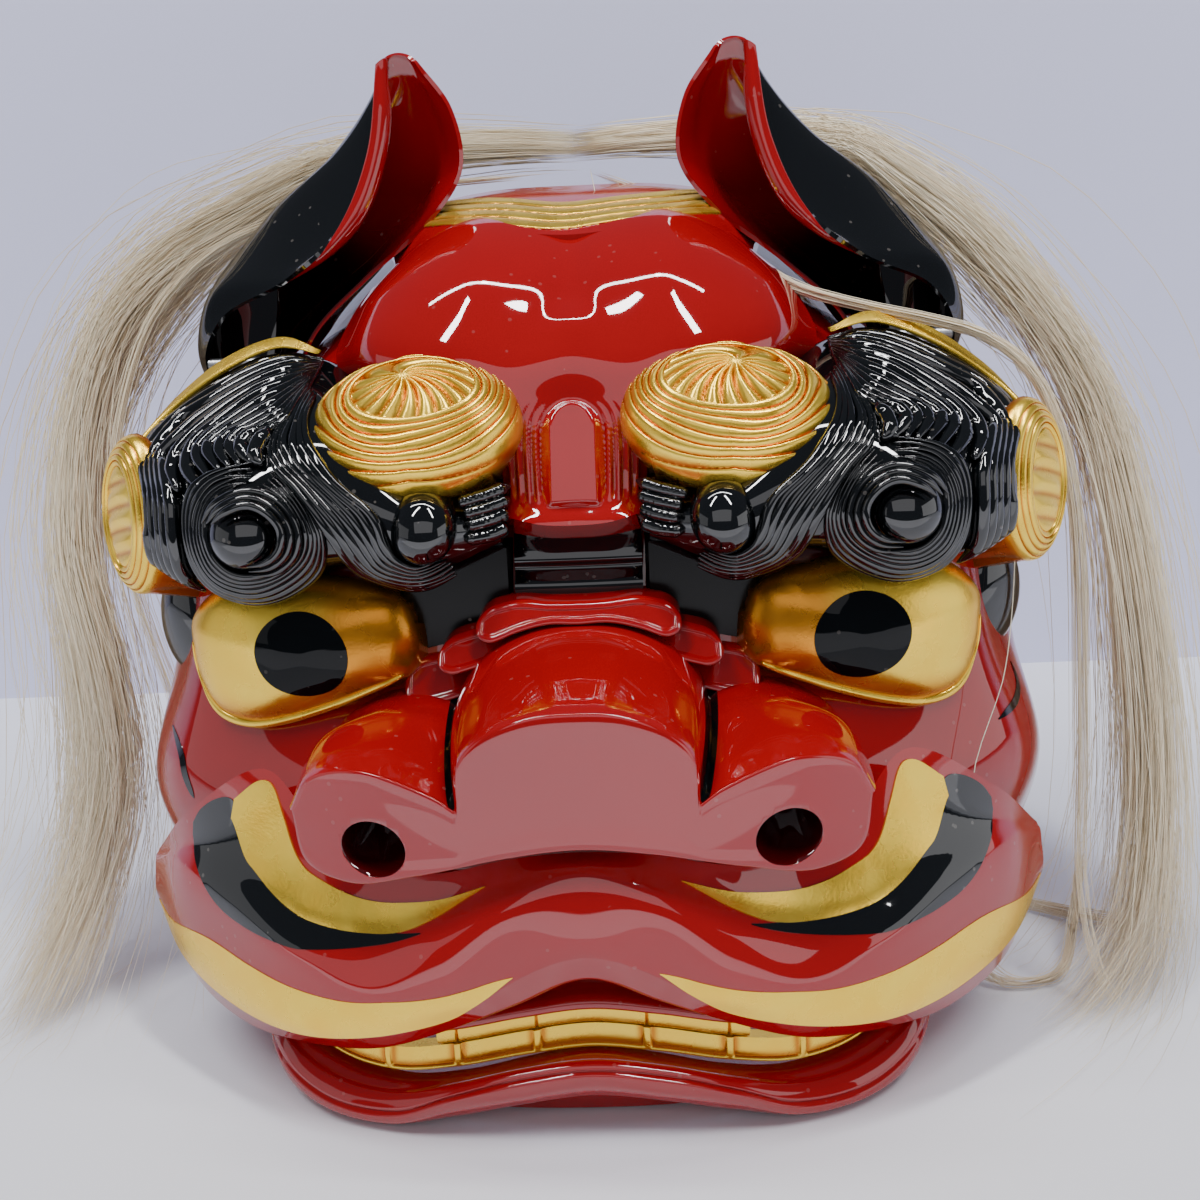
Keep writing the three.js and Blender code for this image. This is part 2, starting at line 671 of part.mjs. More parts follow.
// Rails from the centre to the corner of the mouth. Rows: the top edge under the nose, the valley,
// the crest, the upper and lower edges of the gilt band, the bottom edge and the underside.
const LIP_RAILS = [
  [
    [0, -91, 33.3], [14, -91, 32.7], [27, -88, 30.7], [41, -81, 30.3], [52, -75, 34],
    [62, -68, 39], [81, -59, 32.7], [94.5, -43, 24.3],
  ],
  [
    [0, -95, 32.7], [14, -94, 31], [27.5, -91, 27.7], [40, -86, 25.3], [53.5, -80, 25.3],
    [67, -71, 28.7], [82, -59, 28.7], [94.7, -43.3, 24],
  ],
  [
    [0, -98, 30.7], [14, -98, 28.7], [26.5, -97, 24.7], [40, -92, 22], [54.5, -86, 21.7],
    [69.5, -75, 24.3], [83.5, -61, 25.7], [95, -44, 23.7],
  ],
  [
    [0, -100, 24.7], [14, -99, 22], [26.5, -99, 19.3], [40, -95, 18.3], [55, -87, 18.7],
    [70.5, -75, 20], [86, -60, 21.3], [95.3, -44.7, 22],
  ],
  [
    [0, -99, 22.7], [13.5, -99, 20], [26, -97, 16.7], [40, -94, 14.3], [56, -87, 12.7],
    [72, -74, 12.7], [87, -58, 14.7], [96, -44, 18.7],
  ],
  [
    [0, -95, 20], [13, -95, 17.3], [26, -93, 14], [40, -90, 11], [56.5, -81, 9],
    [72, -69, 8], [86, -55, 10], [95.3, -40.7, 15.3],
  ],
  [
    [0, -87, 19.7], [13, -85, 17.3], [25, -83, 14.3], [37, -79, 12], [50.5, -70, 10.7],
    [63.5, -60, 10], [79, -47, 12], [91.8, -34.7, 16.7],
  ],
].map((rail) => rail.map(at));
const LIP_SPINE = [
  [0, -76, 24], [14, -76, 23], [25, -73, 22], [37, -68, 22], [48, -58, 23],
  [58, -50, 24], [72, -38, 22], [87, -30, 20],
].map(at);
const lipSurface = surface(LIP_RAILS);
const LIP_STEPS = 11; // sections from the centre to a corner
const LIP_RING = 10; // points across the lip's skin
function lipLoop(along, side) {
  const spine = new THREE.CatmullRomCurve3(LIP_SPINE, false, "centripetal").getPoint(along);
  const skin = Array.from({ length: LIP_RING + 1 }, (_, j) => lipSurface(along, j / LIP_RING));
  return [...skin, spine].map((p) => (side < 0 ? flip(p) : p));
}
const lipLoops = [];
for (let i = -LIP_STEPS; i <= LIP_STEPS; i++) lipLoops.push(lipLoop(Math.abs(i) / LIP_STEPS, i));
const upperLip = onCore(loftLoops(lipLoops), nose);

// Bands laid on the lip

// A band between two lines on the lip's skin. Each row gives a place along the lip and the band's
// upper and lower edges across it, all as shares.
function inlay(rows) {
  const line = (column) =>
    new THREE.CatmullRomCurve3(
      rows.map((row) => vec(row.along, row[column], 0)),
      false,
      "centripetal",
    );
  const upper = line("upper");
  const lower = line("lower");
  const steps = 12;
  const across = 2;
  const skin = gridOf(
    (u, v) => {
      const place = upper.getPoint(u).lerp(lower.getPoint(u), v);
      return lipSurface(place.x, place.y);
    },
    steps,
    across,
  );
  return between(pushed(skin, INLAY_LIFT + INLAY), pushed(skin, INLAY_LIFT));
}
const LIP_BAND = [
  { along: 0.13, upper: 0.56, lower: 0.6 },
  { along: 0.28, upper: 0.5, lower: 0.667 },
  { along: 0.5, upper: 0.5, lower: 0.667 },
  { along: 0.75, upper: 0.5, lower: 0.667 },
  { along: 0.95, upper: 0.52, lower: 0.64 },
];
const FLARE = [
  { along: 0.3, upper: 0.22, lower: 0.27 },
  { along: 0.42, upper: 0.16, lower: 0.33 },
  { along: 0.57, upper: 0.17, lower: 0.36 },
  { along: 0.7, upper: 0.17, lower: 0.36 },
  { along: 0.8, upper: 0.06, lower: 0.26 },
  { along: 0.83, upper: 0.02, lower: 0.1 },
];
const WING_BAND = [
  { along: 0.2, upper: 0.1, lower: 0.15 },
  { along: 0.32, upper: 0.04, lower: 0.19 },
  { along: 0.45, upper: 0.02, lower: 0.145 },
  { along: 0.57, upper: 0.02, lower: 0.155 },
  { along: 0.69, upper: 0.03, lower: 0.14 },
  { along: 0.75, upper: 0.02, lower: 0.06 },
];
const lipBandRight = inlay(LIP_BAND);
const wingBandRight = seated(inlay(WING_BAND), nose);
const flareRight = seated(inlay(FLARE), nose, wingBandRight);

// Teeth

// Plan of the tooth rows from the centre outwards, with the z share of the row's foot.
const TOOTH_PATH = [
  [0, -88, 10], [13, -87.5, 9], [26, -86, 7.3], [39, -82.5, 6], [51, -76, 6.3],
  [61, -66, 8],
].map(at);
const TOOTH_EDGES = [-0.86, -0.62, -0.4, -0.16, 0.16, 0.4, 0.62, 0.86]; // shares of the row's half length
const TOOTH_GROOVE = 1;
function toothRow({ span, foot, height, thickness, steps = 30 }) {
  const path = new THREE.CatmullRomCurve3(
    [...TOOTH_PATH.slice(1).reverse().map(flip), ...TOOTH_PATH],
    false,
    "centripetal",
  );
  const edges = [-1, ...TOOTH_EDGES, 1];
  const loops = [];
  for (let i = 0; i <= steps; i++) {
    const place = span * ((2 * i) / steps - 1);
    const share = (place + 1) / 2;
    const p = path.getPoint(share);
    const tangent = path.getTangent(share);
    const out = vec(tangent.y, -tangent.x, 0).normalize();
    const tooth = edges.findIndex((edge) => edge > place) - 1;
    const [from, to] = [edges[Math.max(tooth, 0)], edges[Math.max(tooth, 0) + 1]];
    const middle = Math.abs((2 * (place - from)) / (to - from) - 1);
    const crown = TOOTH_GROOVE * (1 - middle ** 6);
    const z = foot(p, Math.abs(place));
    loops.push([
      p.clone().setZ(z).addScaledVector(out, crown),
      p.clone().setZ(z + height * 0.6).addScaledVector(out, crown + 0.5),
      p.clone().setZ(z + height).addScaledVector(out, crown),
      p.clone().setZ(z + height).addScaledVector(out, -thickness),
      p.clone().setZ(z).addScaledVector(out, -thickness),
    ]);
  }
  return loftLoops(loops);
}

// Jaw

// Rails from the centre of the chin back to the hinge. Rows: bottom, lower ridge, upper ridge,
// seat of the teeth, inner top edge, inner bottom.
const JAW_RAILS = [
  [
    [0, -90, 4.3], [13, -90, 3.5], [27, -88, 1.5], [39, -85, 0], [52, -79, 0],
    [62, -71, 0], [69, -50, 0], [76, -3, 0], [80, 36, 0], [80, 62, 0],
  ],
  [
    [0, -94, 6.7], [14, -94, 5.7], [27, -92, 3.7], [39, -89, 1.2], [53, -83, 1],
    [64, -72, 2], [71, -51, 4], [77, -3, 5], [80, 36, 6], [80, 62, 6],
  ],
  [
    [0, -95, 9.2], [14, -94, 8], [27, -93, 5.8], [39, -89.5, 2.8], [53.5, -83, 2.6],
    [65, -72, 4.7], [72, -51, 7], [77, -3, 9], [80, 36, 11], [80, 62, 11],
  ],
  [
    [0, -90, 10], [13, -89.5, 8.8], [26, -88, 7], [38.5, -84.5, 5.7], [51, -78, 6],
    [62, -68, 7.8], [69.5, -49, 10], [77, -3, 12], [80, 36, 14], [80, 62, 14],
  ],
  [
    [0, -82, 10], [12, -81.5, 8.8], [24, -80, 7], [36, -77, 5.7], [47, -71, 6],
    [57, -62, 7.8], [64, -46, 10], [71.7, -3, 12], [74.7, 36, 14], [74.7, 62, 14],
  ],
  [
    [0, -80, 5.5], [12, -79.5, 4.6], [24, -78, 3], [35.5, -75, 2], [46.5, -69, 1.6],
    [56.5, -60, 1.6], [63.7, -45, 1.6], [71.7, -3, 1.6], [74.7, 36, 1.6], [74.7, 62, 1.6],
  ],
].map((rail) => rail.map(at));
const JAW_STEPS = 10;
const jawCurves = JAW_RAILS.map((rail) => new THREE.CatmullRomCurve3(rail, false, "centripetal"));
const jawLoops = [];
for (let i = -JAW_STEPS; i <= JAW_STEPS; i++) {
  const loop = jawCurves.map((c) => c.getPoint(Math.abs(i) / JAW_STEPS));
  jawLoops.push(i < 0 ? loop.map(flip) : loop);
}
// The bottom board, inside the side boards, and the lug that holds the pin on each side.
const FLOOR_OUTLINE = [[0, -82], [24, -80], [46, -72], [58, -61], [65, -46], [73, -3], [77, 36], [77, 62]];
function jawFloorLoops() {
  const right = FLOOR_OUTLINE.map(([x, y]) => at([x, y, 0]));
  const loop = [...right, ...right.slice(1).reverse().map(flip)];
  return [0, JAW_FLOOR].map((z) => loop.map((p) => p.clone().setZ(z)));
}
const jawSideX = 0.775 * HALF_WIDTH; // middle of the side board at the hinge
function jawLug(side) {
  const x = side * jawSideX;
  const half = JAW_WALL / 2;
  const round = new THREE.CylinderGeometry(JAW_LUG_RADIUS, JAW_LUG_RADIUS, JAW_WALL, 20);
  round.rotateZ(Math.PI / 2);
  round.translate(x, JAW_PIN_Y, JAW_PIN_Z);
  const height = JAW_PIN_Z - JAW_FLOOR / 2;
  const neck = new THREE.BoxGeometry(2 * half, 2 * JAW_LUG_RADIUS, height);
  neck.translate(x, JAW_PIN_Y, JAW_FLOOR / 2 + height / 2);
  return solidOfGeometry(round).add(solidOfGeometry(neck));
}
const jaw = largest(
  loftLoops(jawLoops)
    .add(loftLoops(jawFloorLoops()))
    .add(jawLug(1))
    .add(jawLug(-1))
    .subtract(jawPinBore)
    .subtract(grown(shellBlank, JAW_CLEARANCE)),
);
const lowerTeeth = seated(
  toothRow({
    span: 0.96,
    foot: (p) => p.z + GAP,
    height: LOWER_TOOTH_HEIGHT,
    thickness: TOOTH_THICKNESS,
  }),
  jaw,
  upperLip,
);
const UPPER_SPAN_SHARE = 0.46; // share of the row that the upper teeth take
const UPPER_LIFT = 0.6; // bite gap over the lower teeth
const upperTeeth = seated(
  toothRow({
    span: UPPER_SPAN_SHARE,
    foot: (p) => p.z + LOWER_TOOTH_HEIGHT + GAP + UPPER_LIFT,
    height: UPPER_TOOTH_HEIGHT,
    thickness: TOOTH_THICKNESS,
    steps: 18,
  }),
  upperLip,
  lowerTeeth,
).subtract(core);
const gum = onCore(
  toothRow({
    span: UPPER_SPAN_SHARE * 0.98,
    foot: (p) => p.z + LOWER_TOOTH_HEIGHT + UPPER_TOOTH_HEIGHT + 2 * GAP + UPPER_LIFT,
    height: GUM_HEIGHT,
    thickness: TOOTH_THICKNESS + 6,
    steps: 8,
  }),
  upperLip,
  upperTeeth,
);

// Ears

// Rails from the base up to the tip, across the cup from its inner edge, over the back, to its
// outer edge. Columns: x share, y and z in shares of the ear's rise, from the ear pin.
const EAR_PIN_PLACE = [74, -3, 81.5];
const EAR_RAILS = [
  [[64, -4, -14], [58, -3, 8], [46, 2, 26], [31, 10, 45], [24.5, 14, 62], [27.5, 14, 82], [39.5, 13, 97]],
  [[64, 16, -14], [57, 20, 12], [44, 25, 34], [33, 28, 54], [29, 26, 70], [33, 20, 88], [40.3, 14, 98.5]],
  [[75, 27, -16], [69, 34, 16], [58, 36, 38], [48, 36, 58], [42, 30, 76], [41, 22, 91], [41, 14.5, 99.5]],
  [[85, 18, -16], [83, 22, 14], [72, 27, 36], [61, 26, 55], [53, 22, 73], [46, 17, 89], [41.3, 14, 99.5]],
  [[85.5, 2, -16], [83, -4, 3], [72, -6, 14], [59, -4, 32], [50.5, 1, 54], [46, 7, 76], [41.3, 12, 98]],
].map((rail) =>
  rail.map(([x, y, z]) => {
    const pin = at(EAR_PIN_PLACE);
    return vec((x / 100) * HALF_WIDTH, pin.y + (y / 100) * EAR_RISE, pin.z + (z / 100) * EAR_RISE);
  }),
);
const earSkin = gridOf(surface(EAR_RAILS), 8, 7);
const earPinAt = (x) => vec((x / 100) * HALF_WIDTH, at(EAR_PIN_PLACE).y, at(EAR_PIN_PLACE).z);
const EAR_PIN_SPAN = [63.5, 85]; // x shares of the pin's ends
const earBore = rod(earPinAt(55), earPinAt(96), EAR_PIN_RADIUS + PIN_CLEARANCE, 10);
const earRight = largest(
  between(earSkin, pushed(earSkin, EAR_WALL))
    .subtract(earBore)
    .subtract(grown(shellBlank, EAR_CLEARANCE)),
);
const EAR_POST_FOOT = 24; // below the pin
const earPinRight = onCore(
  rod(earPinAt(EAR_PIN_SPAN[0]), earPinAt(EAR_PIN_SPAN[1]), EAR_PIN_RADIUS, 10).add(
    rod(
      at(EAR_PIN_PLACE).add(vec(0, 0, -EAR_POST_FOOT)),
      at(EAR_PIN_PLACE).add(vec(0, 0, 1)),
      EAR_POST_RADIUS,
      10,
    ),
  ),
);

// Mane

// Rails of the hair from the crown, out over the ear and down to the floor, from the front edge of
// the lock to its rear edge. Columns: x share of the mane's spread, y and z as everywhere.
const MANE_RAILS = [
  [
    [34, 36, 105], [50, 34, 103.5], [66, 30, 94], [79, 24, 77], [86, 12, 55],
    [88, -6, 31], [88, -18, 13], [89, -28, 0],
  ],
  [
    [34, 56, 108], [50, 54, 106.5], [69, 50, 97], [84, 44, 80], [91, 34, 56],
    [93, 22, 32], [93, 8, 14], [94, 0, 0],
  ],
  [
    [34, 78, 107], [49, 78, 105], [66, 76, 95], [80, 72, 78], [87, 62, 56],
    [89, 50, 32], [90, 40, 14], [92, 30, 0],
  ],
];
const maneRails = MANE_RAILS.map((rail) =>
  rail.map(([x, y, z]) => {
    const p = at([0, y, z]);
    const clear = FLOOR_CLEARANCE * (1 - Math.min(1, z / 13));
    return vec((x / 100) * MANE_SPREAD, p.y, p.z + clear);
  }),
);
const LOCKS = 3; // ridges of hair across each side of the mane
const LOCK_RISE = 5;
const manePlain = gridOf(surface(maneRails), 11, 2 * LOCKS);
const maneSkin = pushed(manePlain, -LOCK_RISE).map((row, i) =>
  row.map((p, j) => p.lerp(manePlain[i][j], j % 2 ? 0 : 1)),
);
const aboveFloor = (p) => p.setZ(Math.max(p.z, FLOOR_CLEARANCE));
const maneRight = between(
  maneSkin,
  pushed(maneSkin, MANE_THICKNESS).map((row) => row.map(aboveFloor)),
);
const CROWN_RAILS = [
  [[0, 44, 106], [16, 42, 106], [33.8, 36, 105]],
  [[0, 66, 108.5], [16, 64, 108.3], [33.8, 56, 108]],
  [[0, 92, 109], [16, 88, 108.8], [33.8, 78, 107]],
].map((rail) => rail.map(([x, y, z]) => at([0, y, z]).setX((x / 100) * MANE_SPREAD)));
const crownPlain = surface(CROWN_RAILS);
const crownSkin = gridOf(
  (along, across) => {
    const p = crownPlain(Math.abs(2 * along - 1), across);
    return along < 0.5 ? flip(p) : p;
  },
  8,
  4,
);
const CROWN_LAYER_DEPTH = 34; // down into the head's crown, which cuts it
const maneCrown = onCore(
  between(crownSkin, lowered(crownSkin, CROWN_LAYER_DEPTH)),
  maneRight,
  mirrored(maneRight),
);

// Head with its bores

const shell = largest(shellBlank.subtract(jawPinBore));

// Scene graph

function meshOf(name, solid, material) {
  const data = solid.getMesh();
  const points = new Float32Array((data.vertProperties.length / data.numProp) * 3);
  for (let i = 0; i < points.length / 3; i++)
    points.set(data.vertProperties.subarray(i * data.numProp, i * data.numProp + 3), i * 3);
  const geometry = new THREE.BufferGeometry()
    .setAttribute("position", new THREE.BufferAttribute(points, 3))
    .setIndex(new THREE.BufferAttribute(data.triVerts, 1));
  geometry.computeVertexNormals();
  const mesh = new THREE.Mesh(geometry, material);
  mesh.name = name;
  return mesh;
}

const PAIRED = [
  ["brow", browRight, BLACK],
  ["brow_rim", browRimRight, GOLD],
  ["brow_curl", browCurlRight, GOLD],
  ["side_curl", sideCurlRight, GOLD],
  ["side_lobe", sideLobeRight, BLACK],
  ["eye", eyeRight, GOLD],
  ["pupil", pupilRight, BLACK],
  ["lower_lid", lidRight, GOLD],
  ["eye_panel", panelRight, BLACK],
  ["lip_band", lipBandRight, GOLD],
  ["wing_band", wingBandRight, GOLD],
  ["flare", flareRight, BLACK],
  ["ear", earRight, BLACK],
  ["ear_pin", earPinRight, STEEL],
  ["mane", maneRight, HAIR],
];
const SINGLE = [
  ["head_shell", shell, RED],
  ["forehead", forehead, RED],
  ["hairline_band", hairline, GOLD],
  ["root_band", rootBand, BLACK],
  ["root_ridge", rootRidge, RED],
  ["nose", nose, RED],
  ["upper_lip", upperLip, RED],
  ["gum", gum, RED],
  ["upper_teeth", upperTeeth, GOLD],
  ["jaw", jaw, RED],
  ["lower_teeth", lowerTeeth, GOLD],
  ["jaw_pin", jawPin, STEEL],
  ["mane_crown", maneCrown, HAIR],
];

const head = new THREE.Group();
for (const [name, solid, material] of SINGLE) head.add(meshOf(name, solid, material));
for (const [name, solid, material] of PAIRED) {
  head.add(meshOf(`${name}_right`, solid, material));
  head.add(meshOf(`${name}_left`, mirrored(solid), material));
}

export default head;
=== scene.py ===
import logging
import math
from dataclasses import dataclass, field
from enum import Enum

import bmesh
import bpy
import numpy as np
from mathutils import Matrix, Vector


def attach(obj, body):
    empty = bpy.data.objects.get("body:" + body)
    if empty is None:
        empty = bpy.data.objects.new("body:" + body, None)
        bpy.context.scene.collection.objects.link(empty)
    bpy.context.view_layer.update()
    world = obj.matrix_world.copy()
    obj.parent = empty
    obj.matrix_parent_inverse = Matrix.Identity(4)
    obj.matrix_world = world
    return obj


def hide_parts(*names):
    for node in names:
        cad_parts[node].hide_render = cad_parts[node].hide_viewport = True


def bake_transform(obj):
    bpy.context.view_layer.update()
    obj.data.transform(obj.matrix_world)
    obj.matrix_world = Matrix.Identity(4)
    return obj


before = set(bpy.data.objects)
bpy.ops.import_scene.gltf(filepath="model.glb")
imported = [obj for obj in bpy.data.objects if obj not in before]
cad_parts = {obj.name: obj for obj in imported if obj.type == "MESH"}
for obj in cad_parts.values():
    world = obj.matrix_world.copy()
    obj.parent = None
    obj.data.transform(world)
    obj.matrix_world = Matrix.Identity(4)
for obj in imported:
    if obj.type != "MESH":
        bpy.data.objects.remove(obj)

Array = np.ndarray
LOG = logging.getLogger("lion_head")

HALF_WIDTH = 0.170
FACE_REACH = 0.150
REAR_REACH = 0.122
CROWN_HEIGHT = 0.300
MANE_SPREAD = 0.250
EAR_RISE = 0.110
MM = 0.001
END_RADIUS = 1e-7
FLIP = np.array([-1.0, 1.0, 1.0])


# Curves and sheets


def places(shares: object) -> Array:
    """Places in metres of points given as shares of the head's own sizes.

    Args:
        shares: x, y and z in hundredths of the half width, the reach in front of or behind the
            origin, and the crown's height.

    Returns:
        The points, in the same layout.
    """
    p = np.asarray(shares, float) / 100
    y = p[..., 1] * np.where(p[..., 1] < 0, FACE_REACH, REAR_REACH)
    return np.stack([p[..., 0] * HALF_WIDTH, y, p[..., 2] * CROWN_HEIGHT], -1)


def smooth_pick(points: Array, t: Array, closed: bool = False) -> Array:
    """One point on each of many smooth curves.

    Each curve is a centripetal spline through its points: between two points it is the cubic
    whose end slopes weigh the neighbours by the square root of their distances.

    Args:
        points: m curves of n points.
        t: a place from 0 to 1 along each curve, evenly shared between its spans.
        closed: whether the last point joins the first.

    Returns:
        m points.
    """
    n = points.shape[-2]
    if closed:
        wide = np.concatenate([points[:, -1:], points, points[:, :2]], 1)
        spans = n
        place = np.mod(t, 1.0) * spans
    else:
        first = 2 * points[:, :1] - points[:, 1:2]
        last = 2 * points[:, -1:] - points[:, -2:-1]
        wide = np.concatenate([first, points, last], 1)
        spans = n - 1
        place = np.clip(t, 0, 1) * spans
    i = np.minimum(place.astype(int), spans - 1)
    w = (place - i)[:, None]
    rows = np.arange(len(points))
    p0, p1, p2, p3 = (wide[rows, i + k] for k in range(4))

    def gap(a: Array, b: Array) -> Array:
        """Square root of the distance between two points."""
        return np.sum((b - a) ** 2, -1, keepdims=True) ** 0.25

    d1 = np.maximum(gap(p1, p2), 1e-6)
    d0 = gap(p0, p1)
    d2 = gap(p2, p3)
    d0 = np.where(d0 < 1e-6, d1, d0)
    d2 = np.where(d2 < 1e-6, d1, d2)
    slope1 = ((p1 - p0) / d0 - (p2 - p0) / (d0 + d1) + (p2 - p1) / d1) * d1
    slope2 = ((p2 - p1) / d1 - (p3 - p1) / (d1 + d2) + (p3 - p2) / d2) * d1
    c2 = -3 * p1 + 3 * p2 - 2 * slope1 - slope2
    c3 = 2 * p1 - 2 * p2 + slope1 + slope2
    return p1 + slope1 * w + c2 * w**2 + c3 * w**3


def smooth_line(points: Array, t: Array, closed: bool = False) -> Array:
    """Points at the same places on each of several smooth curves.

    Args:
        points: curves of n points, in any number of leading dimensions.
        t: k places from 0 to 1.
        closed: whether each curve is a loop.

    Returns:
        k points for each curve.
    """
    lead = points.shape[:-2]
    flat = points.reshape(-1, points.shape[-2], points.shape[-1])
    many = np.repeat(flat, len(t), axis=0)
    picked = smooth_pick(many, np.tile(t, len(flat)), closed)
    return picked.reshape(*lead, len(t), points.shape[-1])


def rail_sheet(rails: Array, along: Array, across: Array) -> Array:
    """A sheet through rails: smooth along each rail, and smooth from rail to rail.

    Args:
        rails: r rails of n points.
        along: places along the rails, for the rows.
        across: places from the first rail to the last, for the columns.

    Returns:
        A grid of points, rows by columns.
    """
    lines = smooth_line(rails, along)
    return smooth_line(np.swapaxes(lines, 0, 1), across)


def sheet_at(rails: Array, along: Array, across: Array) -> Array:
    """Single points of a rail sheet, one for each pair of places."""
    many = np.repeat(rails[None], len(along), axis=0)
    m, r, n, d = many.shape
    lines = smooth_pick(many.reshape(m * r, n, d), np.repeat(along, r)).reshape(m, r, d)
    return smooth_pick(lines, across)


def both_halves(rails: Array) -> Array:
    """The rails with their mirror images before them: the first rail is the centre line."""
    return np.concatenate([rails[1:][::-1] * FLIP, rails])


def even(count: int) -> Array:
    """Evenly spread places from 0 to 1."""
    return np.linspace(0, 1, count)


def unit(v: Array) -> Array:
    """Vectors at length one."""
    return v / np.maximum(np.linalg.norm(v, axis=-1, keepdims=True), 1e-9)


def grid_normals(grid: Array) -> Array:
    """Normals of a grid: the column direction crossed with the row direction."""
    return unit(np.cross(np.gradient(grid, axis=1), np.gradient(grid, axis=0)))


def soft_step(x: Array, start: float, end: float) -> Array:
    """0 before start, 1 after end, and the smooth cubic between."""
    t = np.clip((x - start) / (end - start), 0, 1)
    return t * t * (3 - 2 * t)


def nearest(points: Array, cloud: Array) -> Array:
    """Index of the closest point of the cloud to each point."""
    flat = points.reshape(-1, 3).astype(np.float32)
    target = cloud.reshape(-1, 3).astype(np.float32)
    length = np.sum(target**2, 1)
    found = [
        np.argmin(length - 2 * part @ target.T, axis=1)
        for part in np.array_split(flat, max(1, len(flat) // 400))
    ]
    return np.concatenate(found).reshape(points.shape[:-1])


# Meshes


